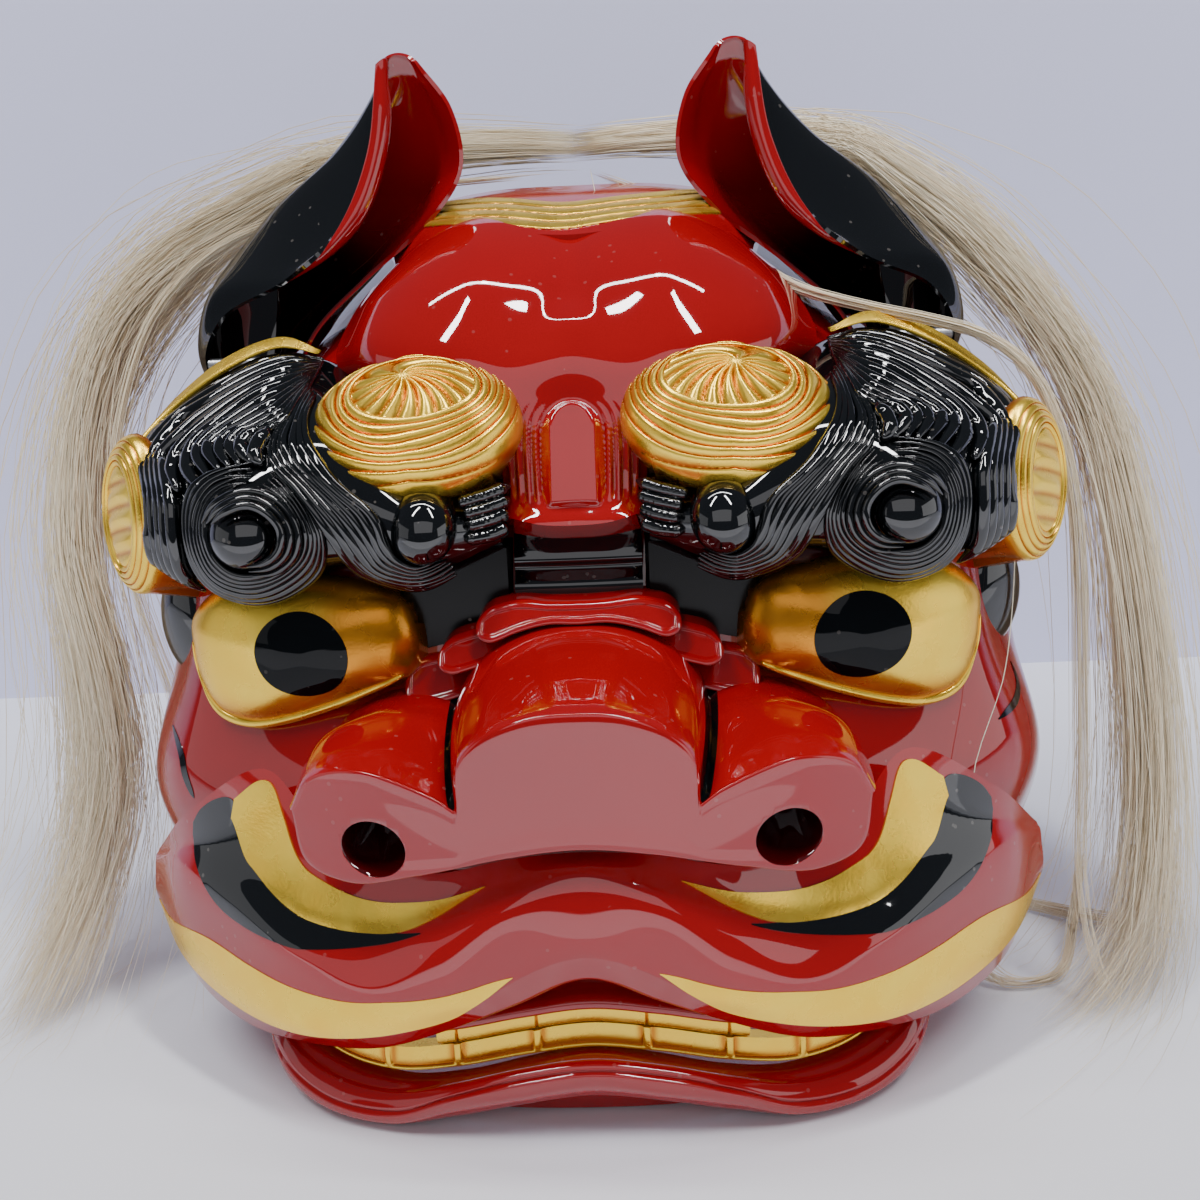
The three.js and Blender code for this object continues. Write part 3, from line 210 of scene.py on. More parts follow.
@dataclass
class Skin:
    """Gathers grids of points into the mesh of one piece."""

    name: str
    points: list[Array] = field(default_factory=list)
    quads: list[Array] = field(default_factory=list)
    finish: list[Array] = field(default_factory=list)
    # painted shade of each point, from 0 to 1
    hollow: list[Array] = field(default_factory=list)
    tone: list[Array] = field(default_factory=list)
    count: int = 0

    def add(
        self,
        points: Array,
        quads: Array,
        finish: Array | int = 0,
        hollow: Array | float = 0.0,
        tone: Array | float = 0.0,
    ) -> None:
        """Adds a closed body, turned so that its faces point outwards.

        Args:
            points: its points.
            quads: four point numbers for each face.
            finish: number of the finish, for the body or for each face.
            hollow: painted shade at each point, from 0 to 1: how far its colour is blended towards the
                finish's shade colour.
            tone: a shade of its own for each point, from 0 to 1.
        """
        p = points.reshape(-1, 3)
        a, b, c, d = (p[quads[:, k]] for k in range(4))
        volume = np.sum(a * np.cross(b, c)) + np.sum(a * np.cross(c, d))
        order = quads if volume > 0 else quads[:, ::-1]
        self.points.append(p)
        self.quads.append(order + self.count)
        self.finish.append(np.broadcast_to(finish, len(quads)))
        self.hollow.append(np.broadcast_to(hollow, p.shape[:1]) if np.ndim(hollow) == 0 else np.ravel(hollow))
        self.tone.append(np.broadcast_to(tone, p.shape[:1]) if np.ndim(tone) == 0 else np.ravel(tone))
        self.count += len(p)

    def add_loft(self, rings: Array, finish: int = 0, hollow: Array | float = 0.0) -> None:
        """Adds the body inside closed rings of points, each end drawn in to its middle.

        Args:
            rings: k rings of n points.
            finish: number of the finish.
            hollow: painted shade at each point.
        """
        first = np.repeat(rings[:1].mean(1, keepdims=True), rings.shape[1], axis=1)
        last = np.repeat(rings[-1:].mean(1, keepdims=True), rings.shape[1], axis=1)
        grid = np.concatenate([first, rings, last])
        if np.ndim(hollow):
            hollow = np.concatenate([hollow[:1], hollow, hollow[-1:]])
        self.add(grid, grid_quads(*grid.shape[:2], wrap=True), finish, hollow)

    def add_slab(
        self,
        front: Array,
        back: Array,
        finish: Array | int = 0,
        back_finish: int | None = None,
        edge_finish: Array | int | None = None,
        hollow: Array | float = 0.0,
    ) -> None:
        """Adds the body between two grids of the same size.

        Args:
            front: outer grid.
            back: inner grid.
            finish: finish of the outer grid, for all of it or for each of its faces.
            back_finish: finish of the inner grid, the outer one's if none is given.
            edge_finish: finish of the edges, likewise, or one for each face round the rim.
            hollow: painted shade at each point of the outer grid.
        """
        rows, columns = front.shape[:2]
        first = int(finish) if np.ndim(finish) == 0 else 0
        back_finish = first if back_finish is None else back_finish
        edge_finish = first if edge_finish is None else edge_finish
        index = np.arange(rows * columns).reshape(rows, columns)
        rim = np.concatenate([index[0], index[1:, -1], index[-1, -2::-1], index[-2:0:-1, 0]])
        after = np.roll(rim, -1)
        other = rows * columns
        sides = np.stack([rim, rim + other, after + other, after], 1)
        quads = grid_quads(rows, columns)
        faces = np.concatenate([quads, quads[:, ::-1] + other, sides])
        looks = np.concatenate(
            [
                np.broadcast_to(finish, len(quads)),
                np.full(len(quads), back_finish),
                np.broadcast_to(edge_finish, len(sides)),
            ]
        )
        depth = np.broadcast_to(hollow, (rows, columns)).ravel() if np.ndim(hollow) < 2 else hollow.ravel()
        both = np.concatenate([front.reshape(-1, 3), back.reshape(-1, 3)])
        self.add(both, faces, looks, np.concatenate([depth, np.zeros(other)]))

    def shape(self, finishes: list[bpy.types.Material], sharp: float, weld: bool) -> bpy.types.Object:
        """Makes the object without fixing it to anything.

        Args:
            finishes: materials, in the order of the finish numbers.
            sharp: angle in degrees past which an edge stays crisp.
            weld: whether points that coincide are joined.

        Returns:
            The object.
        """
        mesh = bpy.data.meshes.new(self.name)
        points = np.concatenate(self.points)
        quads = np.concatenate(self.quads)
        mesh.vertices.add(len(points))
        mesh.vertices.foreach_set("co", points.astype(np.float32).ravel())
        mesh.loops.add(quads.size)
        mesh.loops.foreach_set("vertex_index", quads.astype(np.int32).ravel())
        mesh.polygons.add(len(quads))
        mesh.polygons.foreach_set("loop_start", np.arange(0, quads.size, 4, dtype=np.int32))
        mesh.polygons.foreach_set("material_index", np.concatenate(self.finish).astype(np.int32))
        # hollow carries the painted shade to the materials; tone is each point's own tint
        for key, parts in (("hollow", self.hollow), ("tone", self.tone)):
            layer = mesh.attributes.new(key, "FLOAT", "POINT")
            layer.data.foreach_set("value", np.concatenate(parts).astype(np.float32))
        mesh.update(calc_edges=True)
        if weld:
            work = bmesh.new()
            work.from_mesh(mesh)
            bmesh.ops.remove_doubles(work, verts=work.verts, dist=1e-6)
            work.to_mesh(mesh)
            work.free()
        mesh.shade_smooth()
        mesh.set_sharp_from_angle(angle=math.radians(sharp))
        for finish in finishes:
            mesh.materials.append(finish)
        piece = bpy.data.objects.new(self.name, mesh)
        bpy.context.scene.collection.objects.link(piece)
        return piece

    def build(
        self,
        body: str,
        finishes: list[bpy.types.Material],
        slot: str,
        stands_for: tuple[str, ...] = (),
        sharp: float = 40.0,
        weld: bool = True,
    ) -> bpy.types.Object:
        """Makes the object, sets its finishes and fixes it to a body of the frame.

        Args:
            body: the body it moves with.
            finishes: materials, in the order of the finish numbers.
            slot: the record's slot of its finish; not used.
            stands_for: nodes of the frame that it replaces.
            sharp: angle in degrees past which an edge stays crisp.
            weld: whether points that coincide are joined.

        Returns:
            The object.
        """
        piece = self.shape(finishes, sharp, weld)
        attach(piece, body)
        if stands_for:
            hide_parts(*stands_for)
        LOG.info("%s: %d faces on %s", self.name, len(piece.data.polygons), body)
        return piece


def grid_quads(rows: int, columns: int, wrap: bool = False) -> Array:
    """Point numbers of a grid's faces, with the last column joined to the first if it wraps."""
    index = np.arange(rows * columns).reshape(rows, columns)
    if wrap:
        index = np.concatenate([index, index[:, :1]], 1)
    corners = (index[:-1, :-1], index[1:, :-1], index[1:, 1:], index[:-1, 1:])
    return np.stack([c.ravel() for c in corners], 1)


def tube_rings(lines: Array, radius: Array, sides: int) -> Array:
    """Rings of points round many lines.

    The ring at each point is a circle in the plane across the line: its first axis is the
    tangent crossed with a fixed slanted direction, and its second is across both.

    Args:
        lines: m lines of n points.
        radius: radius at each point.
        sides: points on each ring.

    Returns:
        m by n rings.
    """
    tangent = unit(np.gradient(lines, axis=1))
    fixed = np.array([0.31, 0.87, 0.38])
    first = unit(np.cross(tangent, fixed))
    second = np.cross(tangent, first)
    angle = 2 * np.pi * np.arange(sides) / sides
    ring = (
        first[:, :, None] * np.cos(angle)[None, None, :, None]
        + second[:, :, None] * np.sin(angle)[None, None, :, None]
    )
    return lines[:, :, None] + ring * radius[:, :, None, None]


def tube_quads(lines: int, steps: int, sides: int) -> Array:
    """Faces of many tubes of rings, laid out one tube after another."""
    one = grid_quads(steps, sides, wrap=True)
    shift = np.arange(lines)[:, None, None] * steps * sides
    return (one[None] + shift).reshape(-1, 4)


def add_tubes(skin: Skin, lines: Array, radius: Array, sides: int, tone: Array | float = 0.0) -> None:
    """Adds round strands along lines, each drawn down to a tiny ring at both ends.

    Args:
        skin: the piece that they join.
        lines: m lines of n points.
        radius: radius at each point.
        sides: points round each strand.
        tone: shade of each strand.
    """
    drawn = np.array(radius, float)
    drawn[:, 0] = END_RADIUS
    drawn[:, -1] = END_RADIUS
    rings = tube_rings(lines, drawn, sides)
    m, n = lines.shape[:2]
    shade = np.broadcast_to(np.reshape(tone, (-1, 1)), (m, n * sides)).ravel()
    skin.add(rings.reshape(-1, 3), tube_quads(m, n, sides), 0, 0.0, shade)


# Finishes


class Nodes:
    """A short hand for making and joining nodes in one node tree."""

    def __init__(self, tree: bpy.types.NodeTree) -> None:
        """Keeps the tree."""
        self.tree = tree

    def make(self, kind: str, **values: object) -> bpy.types.Node:
        """A new node with properties set and inputs filled or linked.

        Args:
            kind: the node's type.
            values: properties by name, and inputs by name with spaces as underscores.

        Returns:
            The node.
        """
        node = self.tree.nodes.new(kind)
        for key, value in values.items():
            if hasattr(node, key) and not isinstance(value, bpy.types.NodeSocket):
                setattr(node, key, value)
            else:
                self.fill(node, key.replace("_", " "), value)
        return node

    def fill(self, node: bpy.types.Node, name: str, value: object) -> None:
        """Sets an input, by its name or its number, to a value or to another node's output."""
        socket = node.inputs[int(name)] if name.isdigit() else node.inputs[name]
        if isinstance(value, bpy.types.NodeSocket):
            self.tree.links.new(value, socket)
        else:
            socket.default_value = value

    def math(self, operation: str, a: object, b: object = 0.0) -> bpy.types.NodeSocket:
        """The result of a sum on two values."""
        node = self.make("ShaderNodeMath", operation=operation)
        self.fill(node, "0", a)
        self.fill(node, "1", b)
        return node.outputs[0]

    def blend(self, share: object, a: object, b: object, kind: str = "MIX") -> bpy.types.NodeSocket:
        """A colour between a and b."""
        node = self.make("ShaderNodeMix", data_type="RGBA", blend_type=kind)
        self.fill(node, "0", share)
        self.fill(node, "6", a)
        self.fill(node, "7", b)
        return node.outputs[2]

    def attribute(self, name: str) -> bpy.types.NodeSocket:
        """A point attribute of the mesh."""
        return self.make("ShaderNodeAttribute", attribute_name=name).outputs["Fac"]

    def where(self) -> bpy.types.NodeSocket:
        """The place on the object, in metres."""
        return self.make("ShaderNodeTexCoord").outputs["Object"]


def new_group(name: str, inputs: dict[str, float], outputs: tuple[str, ...]) -> bpy.types.NodeTree:
    """An empty shader node group with named numbers in and named values out."""
    group = bpy.data.node_groups.new(name, "ShaderNodeTree")
    for key, value in inputs.items():
        socket = group.interface.new_socket(key, in_out="INPUT", socket_type="NodeSocketFloat")
        socket.default_value = value
    for key in outputs:
        group.interface.new_socket(key, in_out="OUTPUT", socket_type="NodeSocketFloat")
    return group


class Effects:
    """Shader node groups that the finishes share."""

    def __init__(self) -> None:
        """Builds each group once."""
        self.handwork = self._handwork()
        self.dust = self._dust()

    @staticmethod
    def _handwork() -> bpy.types.NodeTree:
        """Slow waves of a hand-worked surface, and a finer grain, as a shade and a height."""
        group = new_group(
            "handwork", {"Wave Scale": 30.0, "Grain Scale": 400.0, "Grain": 0.3}, ("Shade", "Height")
        )
        kit = Nodes(group)
        ins = kit.make("NodeGroupInput").outputs
        out = kit.make("NodeGroupOutput")
        spot = kit.where()
        wave = kit.make("ShaderNodeTexNoise", Vector=spot, Scale=ins["Wave Scale"], Detail=3.0)
        grain = kit.make("ShaderNodeTexNoise", Vector=spot, Scale=ins["Grain Scale"], Detail=4.0)
        fine = kit.math("MULTIPLY", grain.outputs["Fac"], ins["Grain"])
        kit.fill(out, "Shade", wave.outputs["Fac"])
        kit.fill(out, "Height", kit.math("ADD", wave.outputs["Fac"], fine))
        return group

    @staticmethod
    def _dust() -> bpy.types.NodeTree:
        """Scattered pale specks: near the middle of a few cells of a cellular pattern."""
        group = new_group("dust", {"Scale": 260.0, "Amount": 0.5}, ("Specks",))
        kit = Nodes(group)
        ins = kit.make("NodeGroupInput").outputs
        out = kit.make("NodeGroupOutput")
        spot = kit.where()
        cells = kit.make("ShaderNodeTexVoronoi", Vector=spot, Scale=ins["Scale"])
        patch = kit.make("ShaderNodeTexNoise", Vector=spot, Scale=24.0, Detail=2.0)
        near = kit.math("LESS_THAN", cells.outputs["Distance"], 0.16)
        few = kit.math("GREATER_THAN", cells.outputs["Color"], 0.62)
        here = kit.math("GREATER_THAN", patch.outputs["Fac"], 0.5)
        mask = kit.math("MULTIPLY", kit.math("MULTIPLY", near, few), here)
        kit.fill(out, "Specks", kit.math("MULTIPLY", mask, ins["Amount"]))
        return group


def group_node(kit: Nodes, group: bpy.types.NodeTree, **values: object) -> bpy.types.Node:
    """Places a shared group in a material with its own values."""
    node = kit.make("ShaderNodeGroup")
    node.node_tree = group
    for key, value in values.items():
        kit.fill(node, key.replace("_", " "), value)
    return node


@dataclass(frozen=True)
class Lacquer:
    """Polished lacquer over carved wood: colour, a darker colour painted as shade in grooves, and its clear
    coat.
    """

    name: str
    light: tuple[float, float, float]
    deep: tuple[float, float, float]
    # colour painted as shade where the hollow attribute is set
    groove: tuple[float, float, float]
    roughness: float = 0.28
    coat: float = 1.0
    coat_roughness: float = 0.03
    wave: float = 0.10
    specks: float = 0.07

    def build(self, effects: Effects) -> bpy.types.Material:
        """Makes the material.

        Args:
            effects: the shared node groups.

        Returns:
            The material.
        """
        material = bpy.data.materials.new(self.name)
        material.use_nodes = True
        kit = Nodes(material.node_tree)
        shader = material.node_tree.nodes["Principled BSDF"]
        work = group_node(kit, effects.handwork, Wave_Scale=16.0, Grain_Scale=340.0, Grain=0.10)
        dust = group_node(kit, effects.dust, Scale=230.0, Amount=self.specks)
        colour = kit.blend(work.outputs["Shade"], (*self.deep, 1), (*self.light, 1))
        # Painted shade: the colour is blended towards the groove colour by the hollow attribute.
        hollow = kit.attribute("hollow")
        colour = kit.blend(hollow, colour, (*self.groove, 1))
        colour = kit.blend(dust.outputs["Specks"], colour, (0.55, 0.5, 0.45, 1))
        kit.fill(shader, "Base Color", colour)
        rough = kit.math("ADD", kit.math("MULTIPLY", work.outputs["Shade"], 0.12), self.roughness - 0.06)
        kit.fill(shader, "Roughness", rough)
        bump = kit.make("ShaderNodeBump", Strength=self.wave, Distance=0.0012, Height=work.outputs["Height"])
        kit.fill(shader, "Normal", bump.outputs["Normal"])
        shader.inputs["Specular IOR Level"].default_value = 0.0
        shader.inputs["Coat IOR"].default_value = 1.75
        shader.inputs["Coat Weight"].default_value = self.coat
        shader.inputs["Coat Roughness"].default_value = self.coat_roughness
        return material


@dataclass(frozen=True)
class Gilt:
    """Gold leaf: bright on the ridges, with orange painted as shade and reflection in the grooves, and the
    hand's small unevenness.
    """

    name: str
    light: tuple[float, float, float] = (1.0, 0.75, 0.10)
    deep: tuple[float, float, float] = (0.96, 0.55, 0.04)
    # orange painted as shade and as reflection of the red lacquer
    groove: tuple[float, float, float] = (0.55, 0.15, 0.012)
    roughness: float = 0.27
    wave: float = 0.20
    metal: float = 0.84

    def build(self, effects: Effects) -> bpy.types.Material:
        """Makes the material.

        Args:
            effects: the shared node groups.

        Returns:
            The material.
        """
        material = bpy.data.materials.new(self.name)
        material.use_nodes = True
        kit = Nodes(material.node_tree)
        shader = material.node_tree.nodes["Principled BSDF"]
        work = group_node(kit, effects.handwork, Wave_Scale=70.0, Grain_Scale=900.0, Grain=0.35)
        colour = kit.blend(work.outputs["Shade"], (*self.deep, 1), (*self.light, 1))
        # Painted shade and reflection: blended towards the orange groove colour by the hollow attribute.
        colour = kit.blend(kit.attribute("hollow"), colour, (*self.groove, 1))
        kit.fill(shader, "Base Color", colour)
        kit.fill(
            shader,
            "Roughness",
            kit.math("ADD", kit.math("MULTIPLY", work.outputs["Shade"], 0.2), self.roughness - 0.1),
        )
        bump = kit.make("ShaderNodeBump", Strength=self.wave, Distance=0.0008, Height=work.outputs["Height"])
        kit.fill(shader, "Normal", bump.outputs["Normal"])
        shader.inputs["Metallic"].default_value = self.metal
        return material


@dataclass(frozen=True)
class HorseHair:
    """Pale horse hair: each hair has a tone of its own between straw and grey."""

    name: str
    light: tuple[float, float, float] = (1.0, 0.92, 0.70)
    deep: tuple[float, float, float] = (0.80, 0.62, 0.38)

    def build(self, effects: Effects) -> bpy.types.Material:
        """Makes the material.

        Args:
            effects: the shared node groups.

        Returns:
            The material.
        """
        material = bpy.data.materials.new(self.name)
        material.use_nodes = True
        kit = Nodes(material.node_tree)
        shader = material.node_tree.nodes["Principled BSDF"]
        work = group_node(kit, effects.handwork, Wave_Scale=90.0, Grain_Scale=700.0, Grain=0.4)
        colour = kit.blend(kit.attribute("tone"), (*self.deep, 1), (*self.light, 1))
        colour = kit.blend(kit.math("MULTIPLY", work.outputs["Shade"], 0.35), colour, (0.9, 0.84, 0.72, 1))
        kit.fill(shader, "Base Color", colour)
        kit.fill(shader, "Roughness", kit.math("ADD", kit.math("MULTIPLY", work.outputs["Shade"], 0.2), 0.32))
        shader.inputs["Specular IOR Level"].default_value = 0.6
        return material


@dataclass(frozen=True)
class PlainWood:
    """Bare wood of the inside, sealed with one dark coat: long grain under a soft sheen."""

    name: str
    light: tuple[float, float, float] = (0.26, 0.10, 0.05)
    deep: tuple[float, float, float] = (0.12, 0.035, 0.02)

    def build(self, effects: Effects) -> bpy.types.Material:
        """Makes the material.

        Args:
            effects: the shared node groups.

        Returns:
            The material.
        """
        material = bpy.data.materials.new(self.name)
        material.use_nodes = True
        kit = Nodes(material.node_tree)
        shader = material.node_tree.nodes["Principled BSDF"]
        stretch = kit.make("ShaderNodeMapping", Vector=kit.where(), Scale=(40.0, 6.0, 40.0))
        grain = kit.make(
            "ShaderNodeTexNoise", Vector=stretch.outputs[0], Scale=3.0, Detail=6.0, Distortion=0.6
        )
        work = group_node(kit, effects.handwork, Wave_Scale=40.0, Grain_Scale=500.0, Grain=0.5)
        colour = kit.blend(grain.outputs["Fac"], (*self.deep, 1), (*self.light, 1))
        kit.fill(shader, "Base Color", colour)
        kit.fill(shader, "Roughness", kit.math("ADD", kit.math("MULTIPLY", grain.outputs["Fac"], 0.2), 0.45))
        height = kit.math("ADD", grain.outputs["Fac"], work.outputs["Height"])
        bump = kit.make("ShaderNodeBump", Strength=0.25, Distance=0.0008, Height=height)
        kit.fill(shader, "Normal", bump.outputs["Normal"])
        return material


@dataclass(frozen=True)
class PinSteel:
    """Drawn steel wire, faintly streaked."""

    name: str
    colour: tuple[float, float, float] = (0.45, 0.46, 0.48)

    def build(self, effects: Effects) -> bpy.types.Material:
        """Makes the material.

        Args:
            effects: the shared node groups.

        Returns:
            The material.
        """
        material = bpy.data.materials.new(self.name)
        material.use_nodes = True
        kit = Nodes(material.node_tree)
        shader = material.node_tree.nodes["Principled BSDF"]
        work = group_node(kit, effects.handwork, Wave_Scale=120.0, Grain_Scale=1500.0, Grain=0.6)
        dark = tuple(c * 0.7 for c in self.colour)
        kit.fill(shader, "Base Color", kit.blend(work.outputs["Shade"], (*dark, 1), (*self.colour, 1)))
        kit.fill(shader, "Roughness", kit.math("ADD", kit.math("MULTIPLY", work.outputs["Shade"], 0.2), 0.25))
        shader.inputs["Metallic"].default_value = 1.0
        return material


class Finish(Enum):
    """The finishes of the head."""

    # The third colour of each lacquer is the colour of its painted shade.
    RED = Lacquer("red_lacquer", (0.37, 0.0036, 0.0055), (0.28, 0.0024, 0.004), (0.09, 0.0008, 0.0012))
    # A darker copy of the red, painted as shade: beside the nose's notches and inside the nostrils.
    MAROON = Lacquer("maroon_lacquer", (0.085, 0.0015, 0.003), (0.05, 0.001, 0.002), (0.02, 0.0005, 0.001))
    BLACK = Lacquer(
        "black_lacquer",
        (0.0030, 0.0042, 0.0050),
        (0.0012, 0.0018, 0.0024),
        (0.0006, 0.0006, 0.0006),
        specks=0.12,
    )
    SOOT = Lacquer(
        "soot_lacquer", (0.0028, 0.0026, 0.0024), (0.0012, 0.0011, 0.0010), (0.0006, 0.0006, 0.0006),
        roughness=0.42, coat=0.25, coat_roughness=0.22, wave=0.5, specks=0.2
    )
    INK = Lacquer(
        "ink_lacquer", (0.0030, 0.0042, 0.0050), (0.0012, 0.0018, 0.0024), (0.0006, 0.0006, 0.0006),
        roughness=0.4, coat=0.22
    )
    GOLD = Gilt("gilt")
    HAIR = HorseHair("horse_hair")
    WOOD = PlainWood("plain_wood")
    STEEL = PinSteel("pin_steel")
    # The ears' red: its near-black third colour is painted shade towards the foot of each ear.
    EAR_RED = Lacquer("ear_red_lacquer", (0.33, 0.003, 0.005), (0.25, 0.002, 0.004), (0.003, 0.0006, 0.0006))


class Workshop:
    """Holds the finishes that the pieces are dressed with."""

    def __init__(self) -> None:
        """Builds each finish once."""
        effects = Effects()
        self.materials = {finish: finish.value.build(effects) for finish in Finish}

    def take(self, *finishes: Finish) -> list[bpy.types.Material]:
        """The materials of some finishes, in order."""
        return [self.materials[f] for f in finishes]


# Head shell and its plain carved surfaces

SHELL_RAILS = places([
    [[0, -91, 20.7], [0, -79, 33], [0, -62, 46], [0, -42, 60.7], [0, -31, 77],
     [0, 0, 93.3], [0, 45, 100.5], [0, 100, 104]],
    [[29, -87, 20], [28, -76, 34], [26, -54, 46.7], [26, -42, 62.7], [26, -28, 78.7],
     [25, 2, 92.7], [26, 45, 99], [28, 98, 102.3]],
    [[56, -72, 17], [58, -61, 34], [57, -46, 47.5], [54, -43, 63], [52, -17, 78.7],
     [49, 12, 87.7], [52, 50, 92.7], [55, 95, 94.7]],
    [[76, -50, 15], [91, -40, 30.5], [82, -37, 46], [77, -33, 61], [75, -5, 73],
     [73, 25, 78.5], [76, 57, 80.3], [79, 90, 79.3]],
    [[88, -30, 14], [101, -20, 28.5], [97, -11, 42], [94, -3, 53], [92, 14, 59],
     [91, 36, 61], [92, 60, 60], [93, 82, 56.7]],
    [[93, -20, 13.5], [96, -10, 13.2], [96, 2, 13], [95, 16, 13], [94, 30, 13],
     [93, 43, 13], [91, 57, 13], [89, 70, 13]],
])
FOREHEAD_RAILS = places([
    [[0, -55, 63.7], [0, -51, 69], [0, -46, 75], [0, -41, 82.3], [0, -29, 90], [0, -11, 96], [0, 10, 98.7]],
    [[7, -55.5, 64], [8, -51.5, 69], [13, -48, 75], [20, -44, 82.3], [22, -31, 90.7],
     [22, -12, 96.7], [21, 10, 99.3]],
    [[12, -53, 64.7], [14, -47, 69.3], [26, -40, 75.3], [39, -35, 82], [40, -23, 88.7],
     [35, -8, 94], [32, 11, 97]],
    [[13.5, -38, 65.3], [18, -32, 69.3], [36, -24, 75.3], [51, -17, 81], [50, -6, 86],
     [44, 1, 90.7], [36, 13, 93.5]],
])
HAIRLINE_RAILS = places([
    [[0, -14, 95.3], [0, 0, 98.5], [0, 14, 100.6], [0, 31, 102.2]],
    [[19, -14, 96.0], [19, 0, 98.8], [20, 14, 100.7], [20, 30, 101.9]],
    [[30, -11, 94.9], [31, 2, 97.6], [33, 16, 99.4], [34, 31, 100.4]],
    [[39, -2, 91.6], [41, 9, 94.4], [43, 21, 96.2], [45, 34, 97.2]],
])


@dataclass
class HeadShell:
    """The hollow head: red cheeks, a black rear rim and bare wood inside."""

    wall: float = 7 * MM
    rows: int = 90
    columns: int = 150
    black_from: float = 0.74
    crown_above: float = 290 * MM
    crown_behind: float = 22 * MM
    stroke_width: float = 3.4 * MM
    paint: float = 0.25 * MM
    whiskers: tuple = (
        ((91.5, -32.6, 38.5), (88.0, -40.0, 35.8), (85.7, -44.4, 32.3), (84.6, -46.5, 31.0)),
        ((92.3, -25.9, 42.0), (93.6, -27.8, 39.1), (89.5, -36.8, 37.4), (84.6, -42.6, 36.6)),
    )

    def surface(self) -> Array:
        """The outer surface of the head, as a grid."""
        return rail_sheet(both_halves(SHELL_RAILS), even(self.rows), even(self.columns))

    def middle(self) -> Array:
        """The surface in the middle of the wall, where the carvings are rooted."""
        skin = self.surface()
        return skin - grid_normals(skin) * self.wall * 0.5

    def build(self, shop: Workshop) -> None:
        """Makes the shell and the whisker strokes.

        Args:
            shop: the finishes.
        """
        skin = self.surface()
        inner = skin - grid_normals(skin) * self.wall
        looks = np.zeros((self.rows - 1, self.columns - 1), int)
        looks[int(self.black_from * self.rows):] = 1
        looks[(skin[:-1, :-1, 2] > self.crown_above) & (skin[:-1, :-1, 1] > self.crown_behind)] = 1
        shell = Skin("carved_shell")
        shell.add_slab(skin, inner, looks.ravel(), back_finish=2, edge_finish=1)
        shell.build("head", shop.take(Finish.RED, Finish.BLACK, Finish.WOOD), "red_lacquer", ("head_shell",))
        self.paint_strokes(shop)

    def paint_strokes(self, shop: Workshop) -> None:
        """Paints a short black stroke on each cheek, drawn along the shell and tapered.

        Args:
            shop: the finishes.
        """
        dense = rail_sheet(both_halves(SHELL_RAILS), even(260), even(420))
        normals = grid_normals(dense).reshape(-1, 3)
        strokes = Skin("whisker_strokes")
        for side, line in zip((-1, 1), self.whiskers):
            path = smooth_line(places(line)[None] * np.array([side, 1, 1]), even(24))[0]
            found = nearest(path, dense)
            normal = unit(normals[found])
            on_wood = dense.reshape(-1, 3)[found]
            on_wood = smooth_line(on_wood[None, ::4], even(24))[0]
            across = unit(np.cross(unit(np.gradient(on_wood, axis=0)), normal))
            half = self.stroke_width / 2 * np.sin(np.pi * np.clip(even(24), 0.02, 0.98)) ** 0.7
            spread = np.linspace(-1, 1, 5)[None, :, None] * across[:, None] * half[:, None, None]
            grid = on_wood[:, None] + spread + normal[:, None] * self.paint
            strokes.add_slab(grid, grid - normal[:, None] * self.paint * 3)
        strokes.build("head", shop.take(Finish.BLACK), "black_lacquer")


